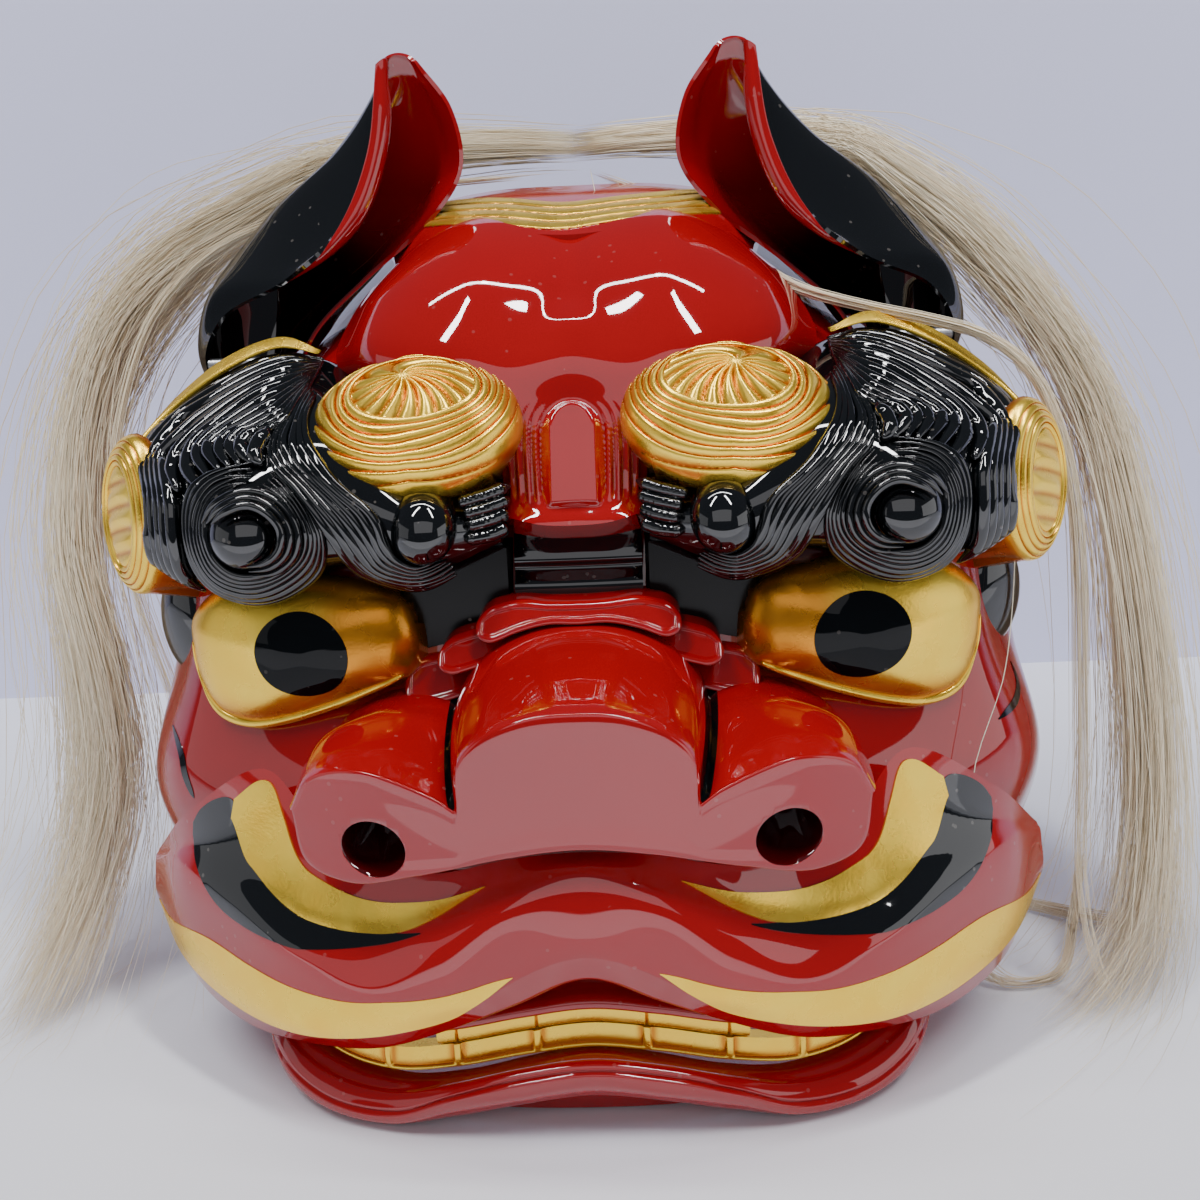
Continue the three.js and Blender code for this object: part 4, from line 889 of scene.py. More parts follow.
@dataclass
class Forehead:
    """The two red lobes of the forehead, the ridge between them, and the bridge with its panel."""

    valley: float = 1.7 * MM
    ridge: float = 2.6 * MM
    ridge_top: float = 263 * MM
    panel_width: float = 8.7 * MM
    panel_top: float = 222 * MM
    panel_foot: float = 199 * MM
    panel_rise: float = 1.7 * MM
    skirt: float = 2.2 * MM

    def relief(self, x: Array, z: Array) -> tuple[Array, Array]:
        """Height of the carving over the plain surface, and the painted shade in its flutes.

        The valley and the ridge are bell curves of x, the ridge wider lower down. The panel is
        an upright bar with a round top and soft shoulders. Thin waves flank it, and under it the
        skirt swells towards its lower edge.

        Args:
            x: distance from the middle.
            z: height.

        Returns:
            The height and the shade of each point.
        """
        valley = self.valley * np.exp(-((x / (7 * MM)) ** 2)) * soft_step(z, 256 * MM, 270 * MM)
        spread = 8 * MM + 0.42 * np.clip(self.ridge_top - z, 0, 24 * MM)
        ridge = self.ridge * np.exp(-((x / spread) ** 2)) * (1 - soft_step(z, 252 * MM, 266 * MM))
        ridge = ridge * soft_step(z, 226 * MM, 244 * MM)
        over = np.hypot(x, np.clip(z - self.panel_top, 0, None))
        edge = self.panel_width
        bar = (1 - soft_step(over, edge - 1.3 * MM, edge + 0.9 * MM)) * soft_step(
            z, self.panel_foot - 2 * MM, self.panel_foot
        )
        crown = 0.5 * MM * np.clip(1 - (over / edge) ** 2, 0, 1)
        beside = (
            soft_step(over, edge, edge + 2 * MM)
            * soft_step(z, 198 * MM, 203 * MM)
            * (1 - soft_step(z, 222 * MM, 232 * MM))
        )
        flutes = 0.5 - 0.5 * np.cos(
            2 * np.pi * (over - edge) / (3.1 * MM) + 2.0 * np.sin(z / (9 * MM)) * 0.35
        )
        foot = 1 - soft_step(z, 192 * MM, self.panel_foot)
        height = (
            ridge - valley + bar * self.panel_rise + crown * bar
            - beside * flutes * 0.9 * MM + foot * self.skirt
        )
        # the second value is painted shade in the flutes beside the panel
        return height, beside * flutes * 0.35

    def build(self, shop: Workshop, root: Array) -> None:
        """Makes the forehead.

        Args:
            shop: the finishes.
            root: the surface in the wall that it is rooted in.
        """
        skin = rail_sheet(both_halves(FOREHEAD_RAILS), even(200), even(180))
        height, shade = self.relief(skin[..., 0], skin[..., 2])
        skin = skin + grid_normals(skin) * height[..., None]
        lobe = Skin("forehead_lobes")
        lobe.add_slab(skin, rooted(skin, root), hollow=shade)
        lobe.build("head", shop.take(Finish.RED), "red_lacquer", ("forehead",))


def rooted(front: Array, root: Array) -> Array:
    """The places under a carving, in the middle of the shell's wall, where it is fixed."""
    return root.reshape(-1, 3)[nearest(front, root)]


@dataclass
class Hairline:
    """Gilt waves across the top of the forehead, with a thin red band behind them."""

    lines: int = 4
    pitch: float = 2.65 * MM
    ridge: float = 0.75 * MM
    level: float = 290.2 * MM
    sag: float = 2.4 * MM

    def build(self, shop: Workshop) -> None:
        """Makes the waves: rounded steps of equal height above an edge that sags near the middle.

        Args:
            shop: the finishes.
        """
        skin = rail_sheet(both_halves(HAIRLINE_RAILS), even(180), even(200))
        x = skin[..., 0]
        edge = self.level - self.sag * np.exp(-(((x + 4 * MM) / (17 * MM)) ** 2))
        edge = edge + 1.2 * MM * np.clip(abs(x) / (45 * MM), 0, 1) ** 2
        phase = (skin[..., 2] - edge) / self.pitch + 0.25 * np.sin(x / (15 * MM)) * soft_step(
            skin[..., 2], edge, edge + 5 * MM
        )
        inside = (phase > 0) & (phase < self.lines)
        step = np.mod(phase, 1.0)
        height = self.ridge * np.sqrt(np.clip(1 - (2 * step - 1) ** 4, 0, 1)) * inside
        # Painted shade in the grooves between the waves.
        groove = (1 - soft_step(np.minimum(step, 1 - step), 0.0, 0.13)) * inside
        skin = skin + grid_normals(skin) * height[..., None]
        looks = np.where(inside[:-1, :-1], 0, 1).ravel()
        band = Skin("hairline_waves")
        back = skin.copy()
        back[..., 2] -= 6 * MM
        band.add_slab(skin, back, looks, back_finish=1, edge_finish=1, hollow=groove)
        band.build("head", shop.take(Finish.GOLD, Finish.RED), "gilt", ("hairline_band",))


# Bosses: curls, lobes and eyes


@dataclass(frozen=True)
class Seat:
    """Where an oval boss sits: its middle, its half sizes as vectors, and the way it faces."""

    centre: tuple[float, float, float]
    across: tuple[float, float, float]
    up: tuple[float, float, float]
    out: tuple[float, float, float]
    rise: float

    def place(self, plan: Array, height: Array, side: int) -> Array:
        """Points over the oval.

        Args:
            plan: two shares for each point, across and up.
            height: share of the rise.
            side: 1 for the right, -1 for the left, which is its mirror image.

        Returns:
            The points.
        """
        out = unit(np.array(self.out, float))
        p = (
            places(self.centre)
            + plan[..., :1] * np.array(self.across)
            + plan[..., 1:] * np.array(self.up)
            + height[..., None] * self.rise * out
        )
        return p * np.array([side, 1, 1])

    def finish_body(self, skin: Skin, front: Array, root: Array, hollow: Array) -> None:
        """Closes a polar grid of rings, from the middle outwards, down into the wall.

        Args:
            skin: the piece.
            front: rings of points, the middle first.
            root: the surface that it is rooted in.
            hollow: painted shade at each point; the ring down in the wall is painted fully in shade.
        """
        under = rooted(front[-1:], root)
        rings = np.concatenate([front, under])
        depth = np.concatenate([hollow, np.ones_like(hollow[-1:])])
        skin.add_loft(rings, 0, depth)


BROW_CURL = Seat((31, -47, 74.3), (0.0366, 0.003, -0.002), (0, 0.021, 0.0204), (0.05, -0.7, 0.7), 17 * MM)
SIDE_CURL = Seat((91.5, -35, 65.3), (0.01445, 0.0135, 0), (-0.002, 0, 0.0288), (0.66, -0.75, 0), 10 * MM)
SIDE_LOBE = Seat((88, -24, 50.6), (0.0119, 0.009, 0), (0, 0, 0.0204), (0.5, -0.86, 0), 7 * MM)
EYE = Seat((55.3, -48.7, 50), (0.03825, 0.0099, 0), (0, 0, 0.0255), (0.2, -0.98, 0), 17 * MM)


@dataclass
class Curls:
    """The gilt curls: combed ridges round a swirled crown over each brow and at each side."""

    ridge_height: float = 0.105
    flutes: int = 14
    notch: float = 1.22
    ridge_counts: tuple = ((0, 0.15, 0.3, 0.55, 0.8, 1), (3.0, 4.5, 6.5, 8.0, 5.5, 3.5))

    def brow_curl(self, side: int) -> tuple[Array, Array]:
        """Rings of a brow curl.

        The crown's ridges run from an apex to an inner oval and turn as they go, more on the
        side of the nose. Between the inner and the outer oval lie the combed ridges: they start
        at a notch in the upper rim, go once round, and run out over the rim one by one.

        Args:
            side: 1 for the right, -1 for the left.

        Returns:
            The rings, and the painted shade of each point.
        """
        angle = np.linspace(0, 2 * np.pi, 320, endpoint=False)
        circle = np.stack([np.cos(angle), np.sin(angle)], -1)
        inner = circle * np.array([0.56, 0.48]) + np.array([-0.05, 0.27])
        beyond = np.mod(angle - self.notch, 2 * np.pi)
        dent = np.exp(-((np.minimum(beyond, 2 * np.pi - beyond) / 0.13) ** 2))
        outer = circle * (1 - 0.07 * dent)[:, None]
        apex = np.array([0.03, 0.36])
        t = np.linspace(0.02, 1, 50)[:, None]
        crown = apex + (inner - apex)[None] * t[..., None]
        twist = 0.55 - 0.45 * np.cos(angle)[None]
        turn = self.flutes / 2 * (angle[None] - twist * t) + 0.5 * np.sin(2 * angle)[None]
        flute = 1 - np.abs(np.sin(turn)) ** 0.8
        crown_rise = (
            self.envelope(crown) + 0.15 * (1 - t**2)
            - 0.15 * flute * soft_step(t, 0.04, 0.3) * (1.1 - 0.4 * t)
        )
        s = np.linspace(0, 1, 130)[:, None]
        band = inner[None] * (1 - s[..., None]) + outer[None] * s[..., None]
        count = np.interp(beyond / (2 * np.pi), *self.ridge_counts)[None]
        spacing = np.linalg.norm(outer - inner, axis=-1)[None] / count
        raw = s * count + 0.35 * np.sin(3 * angle[None] + 5 * s) * np.sin(np.pi * s)
        phase = np.mod(raw, 1.0)
        bump = np.sin(np.pi * phase**0.8) ** 0.6
        band_rise = self.envelope(band) + np.minimum(self.ridge_height, 0.95 * spacing) * (bump - 0.4)
        band_rise = band_rise - 0.16 * dent[None] * soft_step(s, 0.1, 0.6)
        # Painted shade in the grooves between the ridges and between the crown's flutes.
        groove = (1 - soft_step(np.minimum(phase, 1 - phase), 0.02, 0.24)) * np.ones_like(band_rise)
        groove_in = flute**2 * soft_step(t, 0.05, 0.4)
        plan = np.concatenate([crown, band[1:]])
        rise = np.concatenate([crown_rise, band_rise[1:]])
        hollow = np.concatenate([groove_in, groove[1:]])
        return BROW_CURL.place(plan, rise, side), hollow

    @staticmethod
    def envelope(plan: Array) -> Array:
        """Height of the smooth pad under the ridges: full in the middle and round at the rim."""
        r = np.clip(np.linalg.norm(plan, axis=-1), 0, 1)
        return np.sqrt(np.clip(1 - r**3.4, 0, 1)) * 0.86 + 0.04

    def side_curl(self, side: int) -> tuple[Array, Array]:
        """Rings of a side curl: nested oval rims round level flutes.

        Args:
            side: 1 for the right, -1 for the left.

        Returns:
            The rings, and the painted shade of each point.
        """
        angle = np.linspace(0, 2 * np.pi, 160, endpoint=False)
        circle = np.stack([np.cos(angle), np.sin(angle)], -1)
        inner = circle * np.array([0.50, 0.62]) + np.array([0.14, 0.0])
        t = np.linspace(0.02, 1, 40)[:, None]
        core = inner[None] * t[..., None] + (1 - t[..., None]) * np.array([0.14, 0.0])
        level = np.cos(2 * np.pi * (core[..., 1] * 3.4 + 0.5 * core[..., 0] + 0.3 * core[..., 0] ** 2))
        core_rise = self.envelope(core) * 0.86 + 0.06 * level * (1 - t**4)
        s = np.linspace(0, 1, 72)[:, None]
        band = inner[None] * (1 - s[..., None]) + circle[None] * s[..., None]
        phase = np.mod(s * 5, 1.0)
        bump = np.sqrt(np.clip(1 - (2 * phase - 1) ** 2, 0, 1))
        band_rise = self.envelope(band) * (0.82 + 0.18 * soft_step(s, 0, 0.3)) + 0.10 * (bump - 0.4)
        # Painted shade in the grooves between the rims and in the core's flutes.
        groove = (1 - soft_step(np.minimum(phase, 1 - phase), 0, 0.18)) * np.ones_like(band_rise)
        hollow = np.concatenate([np.clip(-level, 0, 1) ** 3 * 0.7, groove[1:]])
        plan = np.concatenate([core, band[1:]])
        rise = np.concatenate([core_rise, band_rise[1:]])
        return SIDE_CURL.place(plan, rise, side), hollow

    def build(self, shop: Workshop, root: Array) -> None:
        """Makes both pairs of curls.

        Args:
            shop: the finishes.
            root: the surface in the wall that they are rooted in.
        """
        for side, word in ((1, "right"), (-1, "left")):
            curl = Skin(f"brow_curl_gilt_{word}")
            rings, hollow = self.brow_curl(side)
            BROW_CURL.finish_body(curl, rings, root, hollow)
            curl.build("head", shop.take(Finish.GOLD), "gilt", (f"brow_curl_{word}",), sharp=70)
            small = Skin(f"side_curl_gilt_{word}")
            rings, hollow = self.side_curl(side)
            SIDE_CURL.finish_body(small, rings, root, hollow)
            small.build("head", shop.take(Finish.GOLD), "gilt", (f"side_curl_{word}",), sharp=70)


# Outline of an eye in shares of its half sizes, from its outer side over the foot to the nose.
EYE_LOOP = (
    (1.12, 0.45), (1.16, 0.0), (1.12, -0.45), (1.0, -0.85), (0.82, -1.04), (0.55, -1.10), (0.2, -1.0),
    (-0.2, -0.79),
    (-0.6, -0.54), (-0.95, -0.30), (-1.03, 0.05), (-1.0, 0.45), (-0.85, 0.80), (-0.4, 1.0), (0.2, 1.05),
    (0.75, 0.9),
)


@dataclass
class Eyes:
    """The gilt eyes with painted pupils, the lids under them, and the black lobes beside them."""

    pupil_size: tuple[float, float] = (17.0 * MM, 14.8 * MM)
    pupil_place: tuple[float, float] = (-0.09, 0.08)
    paint: float = 0.25 * MM
    lid_radius: float = 1.9 * MM
    lid_path: tuple = (
        (1.12, 0.1), (1.11, -0.35), (1.02, -0.68), (0.88, -0.93), (0.6, -1.03), (0.25, -0.94), (-0.2, -0.72),
        (-0.6, -0.47), (-0.93, -0.24),
    )

    def dome(self, seat: Seat, side: int, plan: Array | None = None) -> Array:
        """Rings of a half-round boss.

        Args:
            seat: where it sits.
            side: 1 for the right, -1 for the left.
            plan: its outline in shares of the seat's half sizes, or None for an oval.

        Returns:
            The rings.
        """
        if plan is None:
            angle = np.linspace(0, 2 * np.pi, 96, endpoint=False)
            plan = np.stack([np.cos(angle), np.sin(angle)], -1)
        share = np.sin(np.linspace(0.03, np.pi / 2, 44))[:, None]
        rise = np.sqrt(np.clip(1 - share**2, 0, 1)) * np.ones(len(plan))
        return seat.place(share[..., None] * plan[None], rise, side)

    @staticmethod
    def outline() -> Array:
        """The eye's outline as a smooth loop."""
        return smooth_line(np.array(EYE_LOOP)[None], np.arange(144) / 144, closed=True)[0]

    def height(self, plan: Array) -> Array:
        """Height of the eye at some places: a half circle of the share of the way to the rim."""
        loop = self.outline()
        around = np.arctan2(loop[:, 1], loop[:, 0])
        order = np.argsort(around)
        reach = np.linalg.norm(loop, axis=-1)
        rim = np.interp(np.arctan2(plan[..., 1], plan[..., 0]), around[order], reach[order], period=2 * np.pi)
        share = np.linalg.norm(plan, axis=-1) / rim
        return np.sqrt(np.clip(1 - share**2, 0, 1))

    def build(self, shop: Workshop, root: Array) -> None:
        """Makes the eyes, pupils, lids and lobes.

        Args:
            shop: the finishes.
            root: the surface in the wall that they are rooted in.
        """
        loop = self.outline()
        share = np.sin(np.linspace(0.03, np.pi / 2, 44))[:, None]
        x, y = share * loop[None, :, 0], share * loop[None, :, 1]
        # Painted reflection of the red face and painted shade, orange on the gold: towards the nose, the foot
        # and the outer side.
        shade = (
            0.78 * soft_step(-x, -0.05, 0.5) + 0.6 * soft_step(-y, 0.5, 0.9) + 0.3 * soft_step(x, 0.8, 1.05)
        )
        for side, word in ((1, "right"), (-1, "left")):
            eye = Skin(f"eye_gilt_{word}")
            EYE.finish_body(eye, self.dome(EYE, side, loop), root, np.clip(shade, 0, 0.85))
            eye.build("head", shop.take(Finish.GOLD), "gilt", (f"eye_{word}",))
            pupil = Skin(f"pupil_paint_{word}")
            grids = [self.pupil_layer(side, lift) for lift in (self.paint, -self.paint)]
            pupil.add_loft(np.concatenate([grids[0], grids[1][::-1]]))
            pupil.build("head", shop.take(Finish.INK), "black_lacquer", (f"pupil_{word}",))
            lobe = Skin(f"side_lobe_lacquer_{word}")
            rings = self.dome(SIDE_LOBE, side)
            SIDE_LOBE.finish_body(lobe, rings, root, np.zeros(rings.shape[:2]))
            lobe.build("head", shop.take(Finish.BLACK), "black_lacquer", (f"side_lobe_{word}",))
            lid = Skin(f"lid_gilt_{word}")
            line = smooth_line(np.array(self.lid_path)[None], even(80))[0]
            path = EYE.place(line, self.height(line) + 0.02, side)
            full = 0.3 + 0.7 * soft_step(even(80), 0.15, 0.4)
            radius = self.lid_radius * full * np.sin(np.pi * np.clip(even(80), 0.01, 0.985)) ** 0.3
            add_tubes(lid, path[None], radius[None], 12)
            lid.build("head", shop.take(Finish.GOLD), "gilt", (f"lower_lid_{word}",))

    def pupil_layer(self, side: int, lift: float) -> Array:
        """Rings of the pupil from its middle outwards, laid on the eye and lifted off it."""
        angle = np.linspace(0, 2 * np.pi, 96, endpoint=False)
        share = np.linspace(0.02, 1, 14)[:, None]
        a = self.pupil_size[0] / np.linalg.norm(EYE.across)
        b = self.pupil_size[1] / np.linalg.norm(EYE.up)
        plan = np.stack(
            [
                self.pupil_place[0] + a * share * np.cos(angle),
                self.pupil_place[1] + b * share * np.sin(angle),
            ],
            -1,
        )
        return EYE.place(plan, self.height(plan) + lift / EYE.rise, side)


# Nose and its root

# Right half of the nose on three planes: x and z on the front face, at the notches, at the root.
NOSE_TOP = np.array([
    [[0, 49.9], [0, 51.9], [0, 53.7]],
    [[9, 49.4], [10, 51.4], [10, 53]],
    [[17, 47.2], [18, 49.5], [18, 50.8]],
    [[20.8, 44.3], [23, 46.3], [23, 47.5]],
    [[21.3, 39.7], [24, 42.6], [25, 45.4]],
    [[25.5, 41.3], [28, 44.1], [30, 45.8]],
    [[39, 43.6], [40, 45.6], [40, 45]],
    [[49, 42], [50, 43.5], [49, 42]],
    [[53, 38.3], [54, 39], [53, 38.5]],
])
NOSE_FOOT = np.array([
    [[0, 35.8], [0, 35], [0, 35.5]],
    [[13, 35], [13, 34.3], [13, 35]],
    [[29.5, 32.8], [29.5, 32.2], [29, 33]],
    [[43, 31.3], [43, 31], [43, 32]],
    [[51.5, 33.3], [52, 33.3], [52, 34]],
    [[53, 38.3], [54, 39], [53, 38.5]],
])
NOTCH = 4


@dataclass
class Nose:
    """The nose: a flat face with a centre lobe between two wings, each with a nostril."""

    columns: int = 241
    top_knots: tuple = (0, 0.16, 0.3, 0.37, 0.42, 0.5, 0.7, 0.86, 1)
    foot_knots: tuple = (0, 0.25, 0.55, 0.8, 0.93, 1)
    planes: tuple = ((0, -101, 12, 0.982), (0.08, -100, 12, 0.997), (0.6, -91.5, 10, 1.0),
                     (1.2, -78, 5, 1.0), (1.75, -62, -4, 1.0), (2, -44, -8, 1.0))
    shrink_to: float = 41.0
    nostril: tuple[float, float, float] = (37, -92, 35.4)
    nostril_size: tuple[float, float] = (19.6 * MM, 16.8 * MM)
    nostril_depth: float = 26 * MM

    def outline(self, plane: float, u: Array) -> tuple[Array, Array]:
        """The upper and lower outline at places from the centre to the tip of the wing."""
        knots = np.array(self.top_knots)
        low = min(int(plane), 1)
        share = plane - low
        tops, feet = (t[:, low] * (1 - share) + t[:, low + 1] * share for t in (NOSE_TOP, NOSE_FOOT))
        lobe = tops[: NOTCH + 1]
        lobe = np.concatenate([lobe[1:2] * [-1, 1], lobe])
        wing = tops[NOTCH:]
        n = NOTCH + 1
        t_lobe = np.interp(u, knots[: NOTCH + 1], np.arange(1, n + 1) / n)
        t_wing = np.interp(u, knots[NOTCH:], even(len(wing)))
        on_lobe = smooth_line(lobe[None], t_lobe)[0]
        on_wing = smooth_line(wing[None], t_wing)[0]
        top = np.where((u <= knots[NOTCH])[:, None], on_lobe, on_wing)
        foot = np.concatenate([feet[1:2] * [-1, 1], feet])
        t_foot = np.interp(u, self.foot_knots, np.arange(1, len(foot)) / (len(foot) - 1))
        return top, smooth_line(foot[None], t_foot)[0]

    def stations(self, u: Array, upper: bool) -> Array:
        """Control points from the face's edge back to the root, for the right half.

        Args:
            u: places from the centre to the tip.
            upper: whether it is the upper or the lower side.

        Returns:
            For each place, a point on each plane.
        """
        rows = []
        for plane, y, fall, inset in self.planes:
            top, foot = self.outline(plane, u)
            line = top if upper else foot
            z = self.shrink_to + (line[:, 1] - self.shrink_to) * inset
            depth = y + fall * (line[:, 0] / 53) ** 2.4
            rows.append(places(np.stack([line[:, 0] * inset, depth, z], -1)))
        return np.stack(rows, 1)

    def build(self, shop: Workshop) -> None:
        """Makes the nose.

        Each column is a smooth profile from the root under the nose, over its face, to the
        root above it.

        Args:
            shop: the finishes.
        """
        half = even(self.columns // 2 + 1)
        upper, lower = self.stations(half, True), self.stations(half, False)
        share = np.array([0.2, 0.4, 0.6, 0.8])[None, :, None]
        face = lower[:, :1] * (1 - share) + upper[:, :1] * share
        profile = np.concatenate([lower[:, ::-1], face, upper], 1)
        bends = np.concatenate([even(5)[:-1] * 0.3, 0.3 + even(31)[:-1] * 0.16, 0.46 + even(9)[:-1] * 0.2,
                                0.66 + even(41)[:-1] * 0.14, 0.80 + even(17) * 0.2])
        right = smooth_line(profile, bends)
        grid = np.concatenate([(right * FLIP)[::-1][:-1], right])
        rows = len(bends)
        looks = np.zeros((len(grid) - 1, rows), int)
        u = abs(np.linspace(-1, 1, len(grid)))[:-1]
        knot = self.top_knots[NOTCH]
        crease = np.zeros(rows, bool)
        crease[int(rows * 0.60):] = True
        # Black paint in each notch, and beside it on the centre lobe's side the darker red as painted shade.
        looks[np.ix_((u > knot - 0.045) & (u < knot - 0.012), crease)] = 2
        looks[np.ix_((u > knot - 0.012) & (u < knot + 0.030), crease)] = 1
        nose = Skin("nose_lacquer")
        nose.add(grid, grid_quads(*grid.shape[:2], wrap=True), looks.ravel())
        piece = nose.build(
            "head", shop.take(Finish.RED, Finish.BLACK, Finish.MAROON), "red_lacquer", ("nose",), sharp=32
        )
        for side in (-1, 1):
            self.bore(piece, side)

    def bore(self, nose: bpy.types.Object, side: int) -> None:
        """Cuts one nostril: an oval pocket that narrows and rounds off at its end.

        Args:
            nose: the nose.
            side: 1 for the right, -1 for the left.
        """
        centre = places((side * self.nostril[0], self.nostril[1], self.nostril[2]))
        angle = np.linspace(0, 2 * np.pi, 56, endpoint=False)
        deep = np.concatenate([[-0.4, -0.2], even(14)])
        width = np.concatenate(
            [[1.0, 1.0], np.sqrt(np.clip(1 - even(14) ** 4, 0.001, 1)) * (1 - 0.15 * even(14))]
        )
        flare = 1 + 0.22 * np.exp(-((deep + 0.30) / 0.10) ** 2)
        ring = np.stack(
            [
                np.cos(angle)[None] * self.nostril_size[0] / 2 * (width * flare)[:, None],
                np.broadcast_to((deep * self.nostril_depth)[:, None], (len(deep), len(angle))),
                np.sin(angle)[None] * self.nostril_size[1] / 2 * (width * flare)[:, None],
            ],
            -1,
        )
        tool = Skin("nostril_tool")
        tool.add_loft(ring + centre, 0, 0.0)
        # The nostrils' walls take the darker red: painted shade inside them.
        cutter = tool.shape([nose.data.materials[2]], 40, True)
        cut(nose, cutter)


def cut(piece: bpy.types.Object, tool: bpy.types.Object) -> None:
    """Cuts a piece with a tool, which is then removed."""
    modifier = piece.modifiers.new("cut", "BOOLEAN")
    modifier.operation = "DIFFERENCE"
    modifier.solver = "EXACT"
    modifier.object = tool
    modifier.material_mode = "TRANSFER"
    bpy.context.view_layer.objects.active = piece
    bpy.ops.object.modifier_apply(modifier=modifier.name)
    mesh = tool.data
    bpy.data.objects.remove(tool)
    bpy.data.meshes.remove(mesh)


# Leaves of the root, from the top one down: x, middle height and half height of its stations.
ROOT_LEAVES = (
    ((0, 163.6, 3.3), (10, 163.8, 3.3), (20, 163.2, 4.6), (28, 161.2, 5.2), (34, 160.0, 5.0)),
    ((20, 156.5, 4.6), (30, 153.8, 5.4), (38, 151.8, 5.6), (44, 150.4, 5.4), (47.5, 149.6, 5.0)),
    ((34, 144.6, 6.0), (42, 142.6, 6.8), (50, 141.0, 7.0), (56, 140.0, 6.8), (60, 139.4, 6.4)),
)
BAND_PROFILE = ((-36, 65.5), (-46, 65.5), (-45, 62.5), (-48.5, 59.4), (-47.5, 58.4), (-51, 56.6),
                (-49, 53.5), (-36, 53))
PANEL_OUTLINE = ((13.4, 61.5), (36, 61.5), (36, 49), (27, 50), (13.4, 54.5))


@dataclass
class NoseRoot:
    """Above the nose: three red leaves on each side, the black band and its panels."""

    edge: float = 1.3 * MM
    rim: float = 2.3 * MM
    step: float = 0.55 * MM
    tip: float = 7 * MM
    fronts: tuple = (-87.5, -85.0, -82.0)
    lean: float = 0.85
    back: float = -36.0

    def leaf(self, rows: tuple, front: float, spread: Array) -> tuple[Array, Array]:
        """One leaf: a thick plate with a round tip, a rounded edge and a fine rim inside it.

        Its outline lies above and below a middle line by the half height, which falls to
        nothing at the tip as a circle does. The plate leans forward as it goes down.

        Args:
            rows: its stations.
            front: y of its upper edge in millimetres.
            spread: places across it, from -1 to 1.

        Returns:
            Its front and back grids.
        """
        table = np.array(rows, float) * MM
        end = table[-1, 0]
        mirrored = np.concatenate([(table[1:] * [-1, 1, 1])[::-1], table]) if table[0, 0] == 0 else table
        line = smooth_line(mirrored[None], even(240))[0]
        x, middle, half = line.T
        round_end = np.sqrt(np.clip(1 - np.clip((abs(x) - end + self.tip) / self.tip, 0, 1) ** 2, 0, 1))
        half = half * round_end
        z = middle[:, None] + half[:, None] * spread[None]
        inset = np.minimum(half[:, None] * (1 - abs(spread[None])), np.clip(end - abs(x), 0, None)[:, None])
        curve = np.clip(1 - inset / self.edge, 0, 1)
        lowered = self.edge * (1 - np.sqrt(1 - curve**2 * 0.98))
        lowered = lowered + self.step * soft_step(inset, self.rim - 0.4 * MM, self.rim + 0.2 * MM)
        top = middle.max() + 4 * MM
        y = front * MM - self.lean * (top - z) + lowered + 3.2 * MM * (x[:, None] / (60 * MM)) ** 2
        grid = np.stack([np.broadcast_to(x[:, None], z.shape), y, z], -1)
        behind = grid.copy()
        behind[..., 1] = self.back / 100 * FACE_REACH
        return grid, behind

    def build(self, shop: Workshop) -> None:
        """Makes the leaves, the band and the panels.

        Args:
            shop: the finishes.
        """
        ridge = Skin("root_leaves")
        spread = np.sin(np.linspace(-np.pi / 2, np.pi / 2, 61))
        for rows, front in zip(ROOT_LEAVES, self.fronts):
            grid, behind = self.leaf(rows, front, spread)
            ridge.add_slab(grid, behind)
            if rows[0][0] > 0:
                ridge.add_slab(grid * FLIP, behind * FLIP)
        ridge.build("head", shop.take(Finish.RED), "red_lacquer", ("root_ridge",), sharp=50)
        self.make_band(shop)
        self.make_panels(shop)

    def make_band(self, shop: Workshop) -> None:
        """Makes the stepped black band under the forehead."""
        profile = np.array(BAND_PROFILE, float)
        parts = [np.linspace(a, b, 9)[:-1] for a, b in zip(profile, np.roll(profile, -1, 0))]
        ring = np.concatenate(parts)
        for _ in range(4):
            ring = (np.roll(ring, 1, 0) + 2 * ring + np.roll(ring, -1, 0)) / 4
        x = np.linspace(-12.8, 12.8, 41)
        bow = 0.6 * (1 - (x / 12.8) ** 2)
        grid = np.stack(
            [
                np.broadcast_to(x[:, None], (41, len(ring))),
                ring[None, :, 0] - bow[:, None] * (ring[None, :, 0] < -40),
                np.broadcast_to(ring[None, :, 1], (41, len(ring))),
            ],
            -1,
        )
        band = Skin("root_band_lacquer")
        band.add_loft(places(grid))
        band.build("head", shop.take(Finish.BLACK), "black_lacquer", ("root_band",), sharp=50)

    def make_panels(self, shop: Workshop) -> None:
        """Makes the black panel on each side, between the band and the eye."""
        for side, word in ((1, "right"), (-1, "left")):
            loop = np.array(PANEL_OUTLINE, float)
            parts = [np.linspace(a, b, 7)[:-1] for a, b in zip(loop, np.roll(loop, -1, 0))]
            ring = np.concatenate(parts)
            middle = ring.mean(0)
            rings = [
                places(np.stack([side * p[:, 0], np.full(len(p), y), p[:, 1]], -1))
                for p, y in ((middle + (ring - middle) * 0.94, -50.3), (ring, -49.2), (ring, self.back))
            ]
            panel = Skin(f"eye_panel_lacquer_{word}")
            panel.add_loft(np.stack(rings))
            panel.build("head", shop.take(Finish.SOOT), "black_lacquer", (f"eye_panel_{word}",), sharp=50)


# Lip, teeth and jaw

